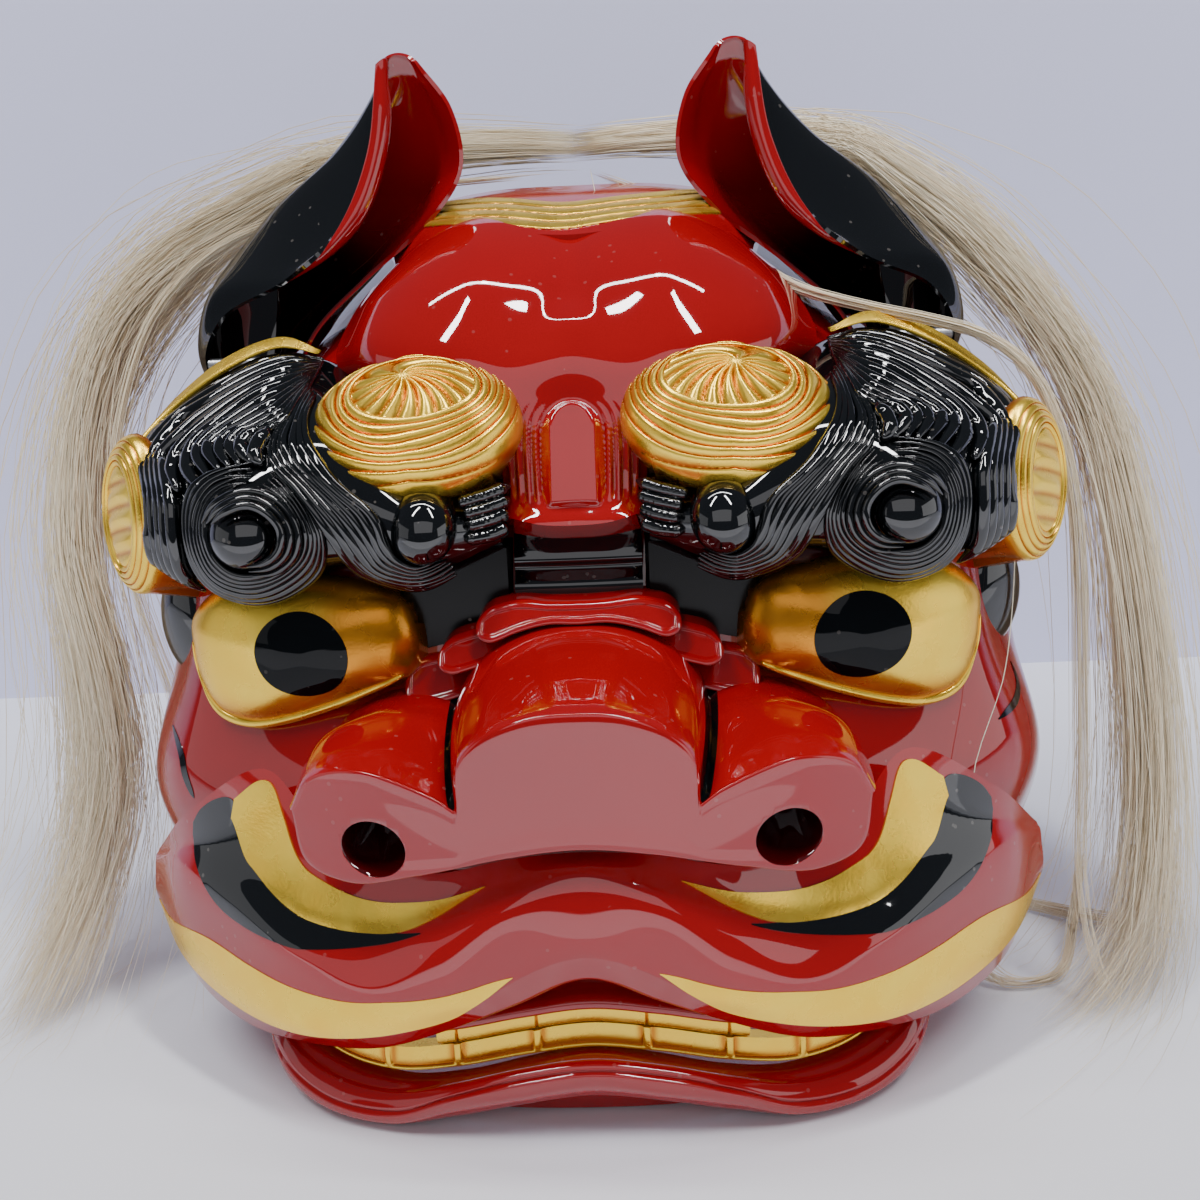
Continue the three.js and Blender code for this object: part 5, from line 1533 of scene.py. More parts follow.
LIP_RAILS = places([
    [[0, -91, 33.3], [14, -91, 32.7], [27, -88, 30.7], [41, -81, 30.3], [52, -75, 34],
     [62, -68, 39], [81, -59, 32.7], [94.5, -43, 24.3]],
    [[0, -95, 32.7], [14, -94, 31], [27.5, -91, 27.7], [40, -86, 25.3], [53.5, -80, 25.3],
     [67, -71, 28.7], [82, -59, 28.7], [94.7, -43.3, 24]],
    [[0, -98, 30.7], [14, -98, 28.7], [26.5, -97, 24.7], [40, -92, 22], [54.5, -86, 21.7],
     [69.5, -75, 24.3], [83.5, -61, 25.7], [95, -44, 23.7]],
    [[0, -100, 24.7], [14, -99, 22], [26.5, -99, 19.3], [40, -95, 18.3], [55, -87, 18.7],
     [70.5, -75, 20], [86, -60, 21.3], [95.3, -44.7, 22]],
    [[0, -99, 22.7], [13.5, -99, 20], [26, -97, 16.7], [40, -94, 14.3], [56, -87, 12.7],
     [72, -74, 12.7], [87, -58, 14.7], [96, -44, 18.7]],
    [[0, -95, 20], [13, -95, 17.3], [26, -93, 14], [40, -90, 11], [56.5, -81, 9],
     [72, -69, 8], [86, -55, 10], [95.3, -40.7, 15.3]],
    [[0, -87, 19.7], [13, -85, 17.3], [25, -83, 14.3], [37, -79, 12], [50.5, -70, 10.7],
     [63.5, -60, 10], [79, -47, 12], [91.8, -34.7, 16.7]],
])
LIP_SPINE = places([[0, -76, 24], [14, -76, 23], [25, -73, 22], [37, -68, 22], [48, -58, 23],
                    [58, -50, 24], [72, -38, 22], [87, -30, 20]])
LIP_BAND = (
    (0.135, 0.535, 0.54), (0.2, 0.505, 0.635), (0.28, 0.49, 0.70), (0.38, 0.50, 0.70), (0.48, 0.53, 0.70),
    (0.58, 0.54, 0.70), (0.68, 0.54, 0.70), (0.78, 0.54, 0.70), (0.88, 0.59, 0.70), (0.95, 0.64, 0.70),
    (0.985, 0.67, 0.69),
)
FLARE = (
    (0.32, 0.258, 0.262), (0.45, 0.21, 0.28), (0.53, 0.20, 0.305), (0.61, 0.195, 0.35), (0.67, 0.18, 0.385),
    (0.72, 0.14, 0.39), (0.77, 0.05, 0.36), (0.80, 0.03, 0.32), (0.83, 0.03, 0.25), (0.85, 0.07, 0.13),
)
WING_BAND = (
    (0.18, 0.158, 0.162), (0.28, 0.14, 0.215), (0.36, 0.12, 0.235), (0.45, 0.11, 0.225), (0.53, 0.10, 0.215),
    (0.60, 0.09, 0.21), (0.65, 0.05, 0.20), (0.69, 0.02, 0.18), (0.72, 0.02, 0.16), (0.765, 0.05, 0.09),
)
# Along half the lip, where the flat rim of its lower edge starts and ends across it.
LIP_RIM = ((0, 0.07, 0.13, 0.2, 0.286, 0.4, 0.9, 1), (0.575, 0.555, 0.56, 0.65, 0.71, 0.705, 0.705, 0.705),
           (0.80, 0.77, 0.775, 0.80, 0.82, 0.84, 0.84, 0.84))


@dataclass
class UpperLip:
    """The upper lip, from one corner of the mouth to the other, with its painted bands."""

    sections: int = 241
    across: int = 56
    paint: float = 0.25 * MM

    @staticmethod
    def both(rails: Array) -> Array:
        """Rails that run from the left corner over the centre to the right corner."""
        return np.concatenate([(rails * FLIP)[..., ::-1, :][..., :-1, :], rails], -2)

    def build(self, shop: Workshop) -> None:
        """Makes the lip and its bands.

        Args:
            shop: the finishes.
        """
        along = even(self.sections)
        skin = self.skin(along)
        spine = smooth_line(self.both(LIP_SPINE)[None], along)[0]
        lip = Skin("lip_lacquer")
        lip.add_loft(np.concatenate([skin, spine[:, None]], 1))
        lip.build("head", shop.take(Finish.RED), "red_lacquer", ("upper_lip",), sharp=50)
        for side, word in ((1, "right"), (-1, "left")):
            for name, rows, finish, slot in (
                ("lip_band", LIP_BAND, Finish.GOLD, "gilt"),
                ("wing_band", WING_BAND, Finish.GOLD, "gilt"),
                ("flare", FLARE, Finish.BLACK, "black_lacquer"),
            ):
                layer = Skin(f"{name}_paint_{word}")
                lift = self.paint * (2 if name == "wing_band" else 1)
                front = self.patch(np.array(rows), side, lift)
                layer.add_slab(front, self.patch(np.array(rows), side, -self.paint))
                layer.build("head", shop.take(finish), slot, (f"{name}_{word}",))

    def skin(self, along: Array) -> Array:
        """The lip's skin: its rails' sheet, with a flat rim along the lower edge.

        Across the rim, points lie on the straight line between its two edges.

        Args:
            along: places along the lip.

        Returns:
            A grid of points, one row for each place.
        """
        knots, starts, ends = LIP_RIM
        u = abs(2 * along - 1)
        start, end = (np.interp(u, knots, edge) for edge in (starts, ends))
        for _ in range(12):
            start[1:-1] = (start[:-2] + 2 * start[1:-1] + start[2:]) / 4
            end[1:-1] = (end[:-2] + 2 * end[1:-1] + end[2:]) / 4
        over = start[:, None] * np.append(even(self.across) * 0.992, 1.0)
        under = end[:, None] + (1 - end[:, None]) * np.append(0.04, even(14)[1:])
        place = np.concatenate([over, end[:, None], under], 1)
        rows = np.broadcast_to(along[:, None], place.shape)
        grid = sheet_at(self.both(LIP_RAILS), rows.ravel(), place.ravel()).reshape(*place.shape, 3)
        top, foot = grid[:, self.across : self.across + 1], grid[:, self.across + 1 : self.across + 2]
        share = np.array([0.05, 0.35, 0.65, 0.95])[None, :, None]
        return np.concatenate(
            [grid[:, : self.across + 1], top * (1 - share) + foot * share, grid[:, self.across + 1 :]], 1
        )

    def patch(self, rows: Array, side: int, lift: float) -> Array:
        """A painted band between two lines on the lip.

        Args:
            rows: places along the lip, and the band's upper and lower edges across it.
            side: 1 for the right, -1 for the left.
            lift: height over the lip's skin.

        Returns:
            A grid of points.
        """
        lines = smooth_line(rows[None], even(110))[0]
        share = even(14)[None]
        across = lines[:, 1:2] * (1 - share) + lines[:, 2:3] * share
        along = np.broadcast_to(0.5 + 0.5 * lines[:, :1], across.shape)
        rails = self.both(LIP_RAILS)
        step = 0.002
        p, right, down = (
            sheet_at(rails, np.ravel(along + a), np.ravel(across + b)).reshape(*across.shape, 3)
            for a, b in ((0, 0), (step, 0), (0, step))
        )
        normal = unit(np.cross(down - p, right - p))
        normal = normal * np.sign(np.sum(normal * np.array([0.2, -1, 0.2]), -1, keepdims=True))
        return (p + normal * lift) * np.array([side, 1, 1])


TOOTH_PATH = places([[0, -88, 10], [13, -87.5, 9], [26, -86, 7.3], [39, -82.5, 6], [51, -76, 6.3],
                     [61, -66, 8]])
TOOTH_EDGES = (-1.2, -0.86, -0.62, -0.4, -0.16, 0.16, 0.4, 0.62, 0.86, 1.2)


@dataclass
class ToothRow:
    """A row of gilt teeth bent round the front of the mouth."""

    span: float
    foot: float
    height: float
    thickness: float
    framed: bool
    stations: int = 420
    proud: float = 0.9 * MM

    def path(self) -> Array:
        """The line of the row's foot."""
        line = np.concatenate([(TOOTH_PATH[1:] * FLIP)[::-1], TOOTH_PATH])
        return smooth_line(line[None], (np.linspace(-self.span, self.span, self.stations) + 1) / 2)[0]

    def rings(self) -> tuple[Array, Array]:
        """Rings across the row, and the painted shade of each point.

        A framed row has a narrow post at each joint and a thin rim along its foot, with flat
        panels between them. A plain row has a fine groove at each joint.
        """
        place = np.linspace(-self.span, self.span, self.stations)
        path = self.path()
        tangent = unit(np.gradient(path, axis=0))
        out = unit(np.stack([tangent[:, 1], -tangent[:, 0], 0 * place], -1))
        edges = np.array(TOOTH_EDGES)
        number = np.searchsorted(edges, place) - 1
        start, end = edges[number], edges[number + 1]
        near = ((1 - abs(2 * (place - start) / (end - start) - 1)) * (end - start))[:, None]
        level = even(25)[None]
        if self.framed:
            post = 1 - soft_step(near, 0.014, 0.030)
            rim = 1 - soft_step(level, 0.10, 0.17)
            raised = np.maximum(post, rim)
            lift = self.proud * raised + 0.4 * MM * np.sin(np.pi * level)
            # Painted orange shade on the panels, beside the posts and above the foot's rim.
            shade = (1 - raised) * np.maximum(
                0.9 * (1 - soft_step(near, 0.03, 0.075)), 0.8 * (1 - soft_step(level, 0.2, 0.5))
            )
        else:
            groove = 1 - soft_step(near, 0.0, 0.012)
            lift = 0.9 * MM * np.sin(np.pi * level) ** 0.7 - 0.7 * MM * groove
            # Painted shade in the joints' grooves.
            shade = groove * np.ones_like(level)
        rise = self.foot + self.height * level
        outer = path[:, None] + out[:, None] * lift[..., None] + np.array([0, 0, 1]) * rise[..., None]
        inner = path[:, None] - out[:, None] * self.thickness + np.array([0, 0, 1]) * rise[:, [-1, 0], None]
        return np.concatenate([outer, inner], 1), np.concatenate([shade, np.zeros((len(place), 2))], 1)

    def build(self, name: str, body: str, node: str, shop: Workshop) -> None:
        """Makes the row.

        Args:
            name: the piece's name.
            body: the body it moves with.
            node: the node that it replaces.
            shop: the finishes.
        """
        row = Skin(name)
        rings, depth = self.rings()
        row.add_loft(rings, 0, depth)
        row.build(body, shop.take(Finish.GOLD), "gilt", (node,), sharp=45)


@dataclass
class Gum:
    """The red gum over the upper teeth: a rounded bead under a hollow with painted shade."""

    span: float = 0.46
    profile: tuple = ((0.3, 14.4), (2.6, 14.8), (4.2, 16.2), (4.2, 17.9), (2.6, 19.3), (-1.0, 20.8),
                      (-4.2, 24.0),
                      (-5.0, 28.0), (-4.0, 32.0), (-10.5, 32.0), (-10.5, 23.0), (-10.5, 14.4))

    def build(self, shop: Workshop) -> None:
        """Makes the gum.

        Args:
            shop: the finishes.
        """
        path = ToothRow(self.span, 0.0, 0.0, 0.0, False, 160).path()
        tangent = unit(np.gradient(path, axis=0))
        out = unit(np.stack([tangent[:, 1], -tangent[:, 0], 0 * tangent[:, 0]], -1))
        loop = smooth_line(np.array(self.profile)[None] * MM, np.arange(72) / 72, closed=True)[0]
        rings = path[:, None] + out[:, None] * loop[None, :, :1] + np.array([0, 0, 1]) * loop[None, :, 1:]
        # Painted shade: the hollow above the bead is darkened.
        shade = soft_step(loop[:, 1], 19.3 * MM, 22.0 * MM)[None] * np.ones((len(path), 1)) * 0.6
        gum = Skin("gum_lacquer")
        gum.add_loft(rings, 0, shade)
        gum.build("head", shop.take(Finish.RED), "red_lacquer", ("gum",))


JAW_RAILS = places([
    [[0, -90, 4.3], [13, -90, 3.5], [27, -88, 1.5], [39, -85, 0], [52, -79, 0],
     [62, -71, 0], [69, -50, 0], [76, -3, 0], [80, 36, 0], [80, 62, 0]],
    [[0, -94, 6.7], [14, -94, 5.7], [27, -92, 3.7], [39, -89, 1.2], [53, -83, 1],
     [64, -72, 2], [71, -51, 4], [77, -3, 5], [80, 36, 6], [80, 62, 6]],
    [[0, -95, 9.2], [14, -94, 8], [27, -93, 5.8], [39, -89.5, 2.8], [53.5, -83, 2.6],
     [65, -72, 4.7], [72, -51, 7], [77, -3, 9], [80, 36, 11], [80, 62, 11]],
    [[0, -90, 10], [13, -89.5, 8.8], [26, -88, 7], [38.5, -84.5, 5.7], [51, -78, 6],
     [62, -68, 7.8], [69.5, -49, 10], [77, -3, 12], [80, 36, 14], [80, 62, 14]],
    [[0, -82, 10], [12, -81.5, 8.8], [24, -80, 7], [36, -77, 5.7], [47, -71, 6],
     [57, -62, 7.8], [64, -46, 10], [71.7, -3, 12], [74.7, 36, 14], [74.7, 62, 14]],
    [[0, -80, 5.5], [12, -79.5, 4.6], [24, -78, 3], [35.5, -75, 2], [46.5, -69, 1.6],
     [56.5, -60, 1.6], [63.7, -45, 1.6], [71.7, -3, 1.6], [74.7, 36, 1.6], [74.7, 62, 1.6]],
])
JAW_FLOOR = ((0, -82), (24, -80), (46, -72), (58, -61), (65, -46), (73, -3), (77, 36), (77, 62))


@dataclass
class Jaw:
    """The lower jaw: a rail with a double ridge, a bottom board, and a lug with a pin on each side."""

    floor: float = 7 * MM
    lug_radius: float = 14 * MM
    lug_wall: float = 9 * MM
    pin: tuple[float, float, float] = (0.775 * HALF_WIDTH, 0.062, 0.074)
    pin_radius: float = 4 * MM
    pin_reach: float = 0.86

    def build(self, shop: Workshop) -> None:
        """Makes the jaw and its pin.

        Args:
            shop: the finishes.
        """
        along = even(301)
        rails = smooth_line(UpperLip.both(JAW_RAILS), along)
        corners = np.swapaxes(rails, 0, 1)
        low, high, brow, inside = (corners[:, k] for k in (1, 2, 3, 4))
        out = unit(high - inside)
        up = np.array([0, 0, 1])
        ring = np.stack(
            [
                corners[:, 0],
                low,
                low * 0.25 + high * 0.75 + out * 0.4 * MM,
                low * 0.12 + high * 0.88 - out * 1.7 * MM,
                high * 0.95 + brow * 0.05 - out * 0.3 * MM,
                high * 0.80 + brow * 0.20 + up * 0.9 * MM,
                high * 0.55 + brow * 0.45 + up * 1.1 * MM,
                high * 0.35 + brow * 0.65 - up * 0.2 * MM,
                brow - up * 0.9 * MM,
                inside - up * 0.9 * MM,
                corners[:, 5],
            ],
            1,
        )
        count = ring.shape[1]
        spans = [np.linspace(ring[:, k], ring[:, (k + 1) % count], 7)[:-1] for k in range(count)]
        ring = np.swapaxes(np.concatenate(spans), 0, 1)
        for _ in range(3):
            ring = (np.roll(ring, 1, 1) + 2 * ring + np.roll(ring, -1, 1)) / 4
        jaw = Skin("jaw_lacquer")
        jaw.add_loft(ring)
        half = places([(*p, 0) for p in JAW_FLOOR])
        path = smooth_line(UpperLip.both(half)[None], even(120))[0]
        middle = np.array([0, 0.0, 0])
        board = np.stack([middle + (path - middle) * s + np.array([0, 0, z]) for s, z in
                          ((0.985, 0.0), (1.0, 0.0008), (1.0, self.floor - 0.0008), (0.985, self.floor))])
        jaw.add_loft(board)
        for side in (-1, 1):
            self.add_lug(jaw, side)
        jaw.build("jaw", shop.take(Finish.RED), "red_lacquer", ("jaw",), sharp=45)
        pin = Skin("jaw_pin_steel")
        ends = np.array([[-1, 1, 1], [1, 1, 1]]) * np.array(
            [self.pin_reach * HALF_WIDTH, self.pin[1], self.pin[2]]
        )
        line = np.linspace(ends[0], ends[1], 30)
        add_tubes(pin, line[None], np.full((1, 30), self.pin_radius), 24)
        pin.build("jaw", shop.take(Finish.STEEL), "pin_steel", ("jaw_pin",))

    def add_lug(self, jaw: Skin, side: int) -> None:
        """Adds the upright lug that holds the pin: a board with a round head.

        Args:
            jaw: the piece.
            side: 1 for the right, -1 for the left.
        """
        turn = np.linspace(0, np.pi, 33)
        head = np.stack([np.cos(turn), np.sin(turn)], -1) * self.lug_radius + np.array(self.pin[1:])
        foot = np.array([[self.pin[1] - self.lug_radius, 0.004], [self.pin[1] + self.lug_radius, 0.004]])
        loop = np.concatenate([head, foot])
        middle = loop.mean(0)
        rings = []
        for inset, x in ((0.95, -0.5), (1.0, -0.42), (1.0, 0.42), (0.95, 0.5)):
            flat = middle + (loop - middle) * inset
            rings.append(np.column_stack([np.full(len(flat), side * self.pin[0] + x * self.lug_wall), flat]))
        jaw.add_loft(np.stack(rings))


# Brows

# One section for each row, from the bridge to the side curl: x, then y and z of the top back,
# top, crest, front, lower front, bottom and back.
BROW_SECTIONS = (
    (14, ((-30, 67), (-42, 67.5), (-52, 66.5), (-57, 65), (-57, 62.5), (-50, 60.5), (-30, 60.5))),
    (29, ((-30, 70), (-44, 70), (-60, 69), (-67, 66), (-66, 61.5), (-56, 58), (-30, 58))),
    (47, ((-14, 80), (-26, 80), (-52, 76), (-65, 69), (-63, 62), (-54, 59.5), (-30, 59))),
    (62, ((-6, 82), (-17, 82.3), (-44, 78), (-64, 70), (-65, 60.5), (-54, 56.5), (-30, 56.5))),
    (76, ((-6, 79), (-17, 79.5), (-42, 75.5), (-58, 69), (-59, 61), (-50, 58), (-26, 58))),
    (87, ((-8, 74.5), (-19, 75.5), (-38, 73), (-48, 68), (-50, 62.5), (-42, 60), (-20, 60))),
)


@dataclass(frozen=True)
class Sheaf:
    """Carved strands that lie side by side: the first and last follow given lines."""

    guides: tuple
    count: int
    thick: float = 0.62
    most: float = 2.6 * MM
    start: float = 0.5
    end: float = 0.15
    hug: float = 0.65


FAN = Sheaf(
    (
        ((53, -20, 82.7), (66, -18, 82.2), (77, -20, 79.4), (86, -24, 75.8), (89, -30, 73.6),
         (90, -36, 71.5)),
        ((53, -21, 82.3), (63, -23, 81.3), (73.4, -27, 79), (83, -28, 76.1), (85.5, -36, 73.5),
         (86, -42, 71.2)),
        ((53, -22, 81.9), (60, -30, 80.8), (68.3, -35, 78.6), (75.3, -39, 76.2), (79.5, -43, 74.2),
         (82.3, -44, 72.4),
         (82, -50, 70.4)),
        ((53, -24, 81.5), (58.2, -33, 80.1), (65.3, -40, 78.1), (70.5, -45, 76.2), (74.9, -47, 74),
         (75.6, -52, 71.8),
         (71.4, -63, 70)),
        ((53, -26, 81.2), (56.4, -36, 79.5), (61.3, -44, 77.7), (66.4, -47, 76.1), (70.5, -49, 74.7),
         (72.3, -51, 73.4), (68.3, -62, 71.8)),
        ((53, -28, 80.9), (55.3, -38, 79.1), (59.1, -47, 77.3), (63.4, -50, 75.8), (67.2, -51, 74.6),
         (68.2, -54, 73.7), (65, -62, 72.6)),
        ((53, -30, 80.6), (54.5, -39, 78.8), (56.9, -49, 77), (60.3, -51, 75.8), (63.5, -52, 74.8),
         (64.7, -54, 73.8),
         (61.4, -62, 72.8)),
        ((53, -31, 80.4), (54.2, -41, 78.5), (55.5, -50, 76.6), (57.9, -52, 75.5), (59.5, -55, 74.5),
         (60.1, -59, 73.4),
         (58, -62, 72.6)),
    ),
    12,
    thick=0.56,
    most=3.0 * MM,
    end=0.3,
)
FLOW = Sheaf(
    (
        ((53, -31, 80.4), (54.8, -45, 77.7), (56.5, -52, 75.8), (57.6, -57, 73.8), (55.7, -63, 72.3),
         (52.6, -64, 70.5), (49.4, -65, 68.2), (46.7, -66, 65.9), (44.4, -65, 63.3), (42.0, -61, 60),
         (36.4, -60, 58),
         (30.6, -60, 57.2), (25.8, -59, 58), (23, -58, 59.1)),
        ((53, -36, 79.4), (53.8, -46, 77.4), (54.6, -53, 75.6), (54.5, -58, 73.7), (51.5, -62, 71.6),
         (46.7, -64, 69.1),
         (42.8, -66, 66.8), (39.9, -66, 64.2), (37.9, -65, 61.3), (34.6, -66, 59.7), (30.6, -66, 58.9),
         (27, -66, 59.2), (23, -64, 60.9)),
        ((51.5, -40, 78.4), (51.8, -48, 76.8), (51.2, -54, 75.0), (49, -59, 73.0), (45.4, -63, 70.6),
         (41.5, -66, 68.9),
         (38, -67, 67.5), (36.1, -67, 65.6), (35.3, -67, 63.5), (33.7, -67, 61.8), (31.2, -67, 60.7),
         (28.5, -67, 60.6), (25.5, -67, 61.2)),
    ),
    7,
    thick=0.57,
    most=2.6 * MM,
    end=0.1,
)
COIL = Sheaf(
    (
        ((56.8, -60, 73.3), (52.3, -64, 70.7), (48.9, -65, 67.7), (47, -65, 64.6), (48.2, -62, 61.2),
         (51.3, -59, 58.9),
         (57, -58, 57), (62.8, -58, 56.3), (69.2, -59, 57.6), (72.5, -61, 59.8), (74.6, -62, 63.1),
         (74.8, -62, 66.8),
         (73.5, -61, 69.9), (70.8, -62, 71.8), (66.2, -62, 72.7), (59.6, -62, 72.9)),
        ((56.8, -64, 71.9), (53.5, -65, 69.8), (50.6, -65, 67.3), (49.2, -66, 64.7), (50.3, -66, 62),
         (53.5, -65, 60.1),
         (58.1, -65, 58.8), (63, -65, 58.4), (67.9, -65, 59.2), (71, -65, 61.1), (72.3, -65, 63.8),
         (72.2, -65, 66.8),
         (70.8, -65, 69), (67.9, -64, 70.7), (63.8, -64, 71.4), (59.6, -64, 71.2)),
        ((59.1, -65, 70.3), (55.2, -65, 69.2), (52.6, -66, 67.1), (51.9, -66, 64.4), (53.6, -66, 62.2),
         (57, -66, 60.7),
         (61.2, -67, 60.2), (65.2, -67, 60.6), (68.4, -67, 62), (70, -67, 64.1), (70.2, -66, 66.5),
         (68.9, -65, 68.5),
         (66.1, -65, 69.9), (62.6, -65, 70.5)),
    ),
    7,
    thick=0.57,
    most=2.6 * MM,
    start=0.05,
    end=0.05,
)
SIDE = Sheaf(
    (
        ((88.5, -36, 73.5), (86.5, -43, 70.9), (84, -49, 68.7), (83.5, -51, 65.4), (84, -50, 62),
         (84, -45, 59.5)),
        ((83.6, -42, 73), (79.5, -52, 70.6), (77.6, -58, 68), (77.6, -59, 64.1), (77, -57, 60),
         (74.4, -55, 57.4)),
    ),
    5,
    most=2.6 * MM,
    end=0.1,
)
FINGERS = Sheaf(
    (
        ((21.4, -61.3, 67.6), (16.5, -58.7, 68.5), (10.8, -55.3, 70.0)),
        ((20.8, -61.3, 66.1), (15.7, -58.7, 66.9), (11.3, -55.3, 67.9)),
        ((20.5, -61.3, 64.7), (15.8, -58.7, 65.2), (12.3, -55.3, 65.9)),
        ((20.6, -61.3, 63.4), (16.0, -58.7, 63.6), (12.6, -55.3, 64.2)),
    ),
    4,
    thick=0.56,
    most=2.6 * MM,
    end=0.05,
    hug=0.4,
)
CRESCENT = Sheaf(
    (
        ((69.6, -66.3, 66.6), (66.5, -67.3, 68.7), (60.3, -67.3, 70.0), (54.6, -67.3, 68.8),
         (51.6, -67.3, 65.9),
         (52.1, -67.3, 63.1), (56.0, -67.3, 61.2), (61.0, -67.3, 60.8)),
        ((66.7, -70.0, 66.8), (63.7, -70.6, 68.1), (59.3, -70.6, 68.8), (55.8, -70.6, 67.8),
         (53.8, -70.3, 65.9),
         (54.4, -70.3, 63.8), (57.3, -70.0, 62.5), (61.2, -69.6, 62.1)),
    ),
    3,
    thick=0.5,
    most=1.5 * MM,
    start=0.05,
    end=0.05,
    hug=0.0,
)


@dataclass
class Brows:
    """The black brows: carved hair that sweeps out from the forehead and coils round two balls."""

    sink: float = 1.6 * MM
    steps: int = 80
    sides: int = 10
    balls: tuple = (
        ((62.3, -62.5, 65.3), 12.6 * MM, 12.2 * MM, 12.0 * MM),
        ((28.6, -63.0, 65.0), 11.2 * MM, 11.8 * MM, 11.5 * MM),
    )

    def mass(self) -> Array:
        """Rings of the smooth body under the strands, on the right side."""
        rails = np.array([[(x, *ring[k]) for x, ring in BROW_SECTIONS] for k in range(7)], float)
        lines = smooth_line(places(rails), even(80))
        return smooth_line(np.swapaxes(lines, 0, 1), np.arange(90) / 90, closed=True)

    def strands(self, sheaf: Sheaf, ground: Array) -> tuple[Array, Array]:
        """Middle lines and radii of the strands of a sheaf.

        The guides are smoothed, mixed across the sheaf, drawn to the nearest places on the
        body, and smoothed again. The radius is a share of the distance to the next strand.

        Args:
            sheaf: the strands.
            ground: points of the body.

        Returns:
            The lines and the radius at each point.
        """
        along = even(self.steps)
        guides = np.stack([smooth_line(places(g)[None], along)[0] for g in sheaf.guides])
        lines = np.swapaxes(smooth_line(np.swapaxes(guides, 0, 1), even(sheaf.count)), 0, 1)
        on_body = ground.reshape(-1, 3)[nearest(lines, ground)]
        lines = lines * (1 - sheaf.hug) + on_body * sheaf.hug
        for _ in range(10):
            lines[:, 1:-1] = (lines[:, :-2] + 2 * lines[:, 1:-1] + lines[:, 2:]) / 4
        gaps = np.linalg.norm(np.diff(lines, axis=0), axis=-1)
        spacing = np.concatenate([gaps[:1], (gaps[1:] + gaps[:-1]) / 2, gaps[-1:]])
        radius = np.clip(spacing * sheaf.thick, 0.5 * MM, sheaf.most)
        shape = np.minimum(1, sheaf.start + along * 6) * np.minimum(1, (1 - along) * 5 + sheaf.end)
        return lines, radius * shape[None] ** 0.8

    def build(self, shop: Workshop) -> None:
        """Makes both brows and the gilt cords over them.

        Args:
            shop: the finishes.
        """
        right = self.mass()
        for side, word in ((1, "right"), (-1, "left")):
            turn = np.array([side, 1, 1])
            brow = Skin(f"brow_carved_{word}")
            normals = ring_normals(right)
            brow.add_loft((right - normals * self.sink) * turn)
            for sheaf in (FAN, FLOW, COIL, SIDE, FINGERS, CRESCENT):
                lines, radius = self.strands(sheaf, right)
                add_tubes(brow, lines * turn, radius, self.sides)
            for centre, wide, tall, rise in self.balls:
                seat = Seat(centre, (wide, 0.002, 0), (0, 0.0015, tall), (0.05, -0.99, -0.08), rise)
                rings = Eyes().dome(seat, side)
                low = rings[-1:] + np.array([0, 0.010, 0])
                brow.add_loft(np.concatenate([rings, low]))
            brow.build("head", shop.take(Finish.BLACK), "black_lacquer", (f"brow_{word}",), sharp=60)
            self.make_cord(side, word, shop)

    def make_cord(self, side: int, word: str, shop: Workshop) -> None:
        """Makes the gilt cord of fine lines over one brow.

        Args:
            side: 1 for the right, -1 for the left.
            word: the side's name.
            shop: the finishes.
        """
        path = smooth_line(places(((53, -24, 83.2), (63, -18, 84.4), (76, -17, 81.8), (87, -19.5, 77.4),
                                   (93, -25, 73.6)))[None], even(70))[0]
        spread = np.linspace(-1, 1, 7)[:, None, None]
        width = (1.2 + 4.6 * soft_step(even(70), 0, 0.6))[None, :, None] * MM
        slope = unit(np.array([0.25, -0.80, -0.45]))
        lines = path[None] + spread * width * slope + np.array([0, 0, -0.6 * MM])
        cord = Skin(f"brow_cord_{word}")
        ends = np.clip(even(70) * 9, 0.15, 1) * np.clip((1 - even(70)) * 12, 0.3, 1)
        radius = np.broadcast_to((0.45 + 0.75 * soft_step(even(70), 0, 0.6)) * ends * MM, (7, 70))
        add_tubes(cord, lines * np.array([side, 1, 1]), radius, 8)
        cord.build("head", shop.take(Finish.GOLD), "gilt", (f"brow_rim_{word}",), sharp=60)


def ring_normals(rings: Array) -> Array:
    """Outward normals of a closed loft, from its neighbours along and round it."""
    along = np.gradient(rings, axis=0)
    around = np.roll(rings, -1, 1) - np.roll(rings, 1, 1)
    normal = unit(np.cross(around, along))
    middle = rings.mean(1, keepdims=True)
    outwards = np.sum(normal * (rings - middle), -1).mean()
    return normal * np.sign(outwards)


# Ears

EAR_PIN = places((74, -3, 81.5))
EAR_RAILS = np.array([
    [[64, -4, -14], [58, -3, 8], [46, 2, 26], [31, 8, 45], [23.8, 12, 62], [25.5, 13.5, 82],
     [32.3, 14.1, 97.2]],
    [[64, 16, -14], [57, 20, 12], [44, 25, 34], [33, 28, 54], [28, 26, 70], [29.8, 20, 88], [34.2, 15, 99.5]],
    [[75, 27, -16], [70, 33, 16], [61, 36, 38], [50, 36, 57], [41, 30, 74], [37, 22, 91],
     [36.8, 15.4, 100.4]],
    [[85, 18, -16], [84.5, 21, 14], [80, 25, 33], [70, 28, 52], [54.5, 26, 70], [44.5, 20, 86],
     [39.0, 15.2, 99.6]],
    [[83.5, 4, -12], [86.5, 7, 6], [81.5, 5, 24], [64, -2, 30], [48.6, 0, 44.5], [42.1, 7, 67],
     [39.9, 14.2, 98.2]],
    [[82, -2, -12], [83, -2, 4], [78, -2, 16.5], [63, -5.5, 27.5], [51, -1.5, 43.5], [44.3, 5.6, 67],
     [41.4, 13.6, 96.2]],
], float)


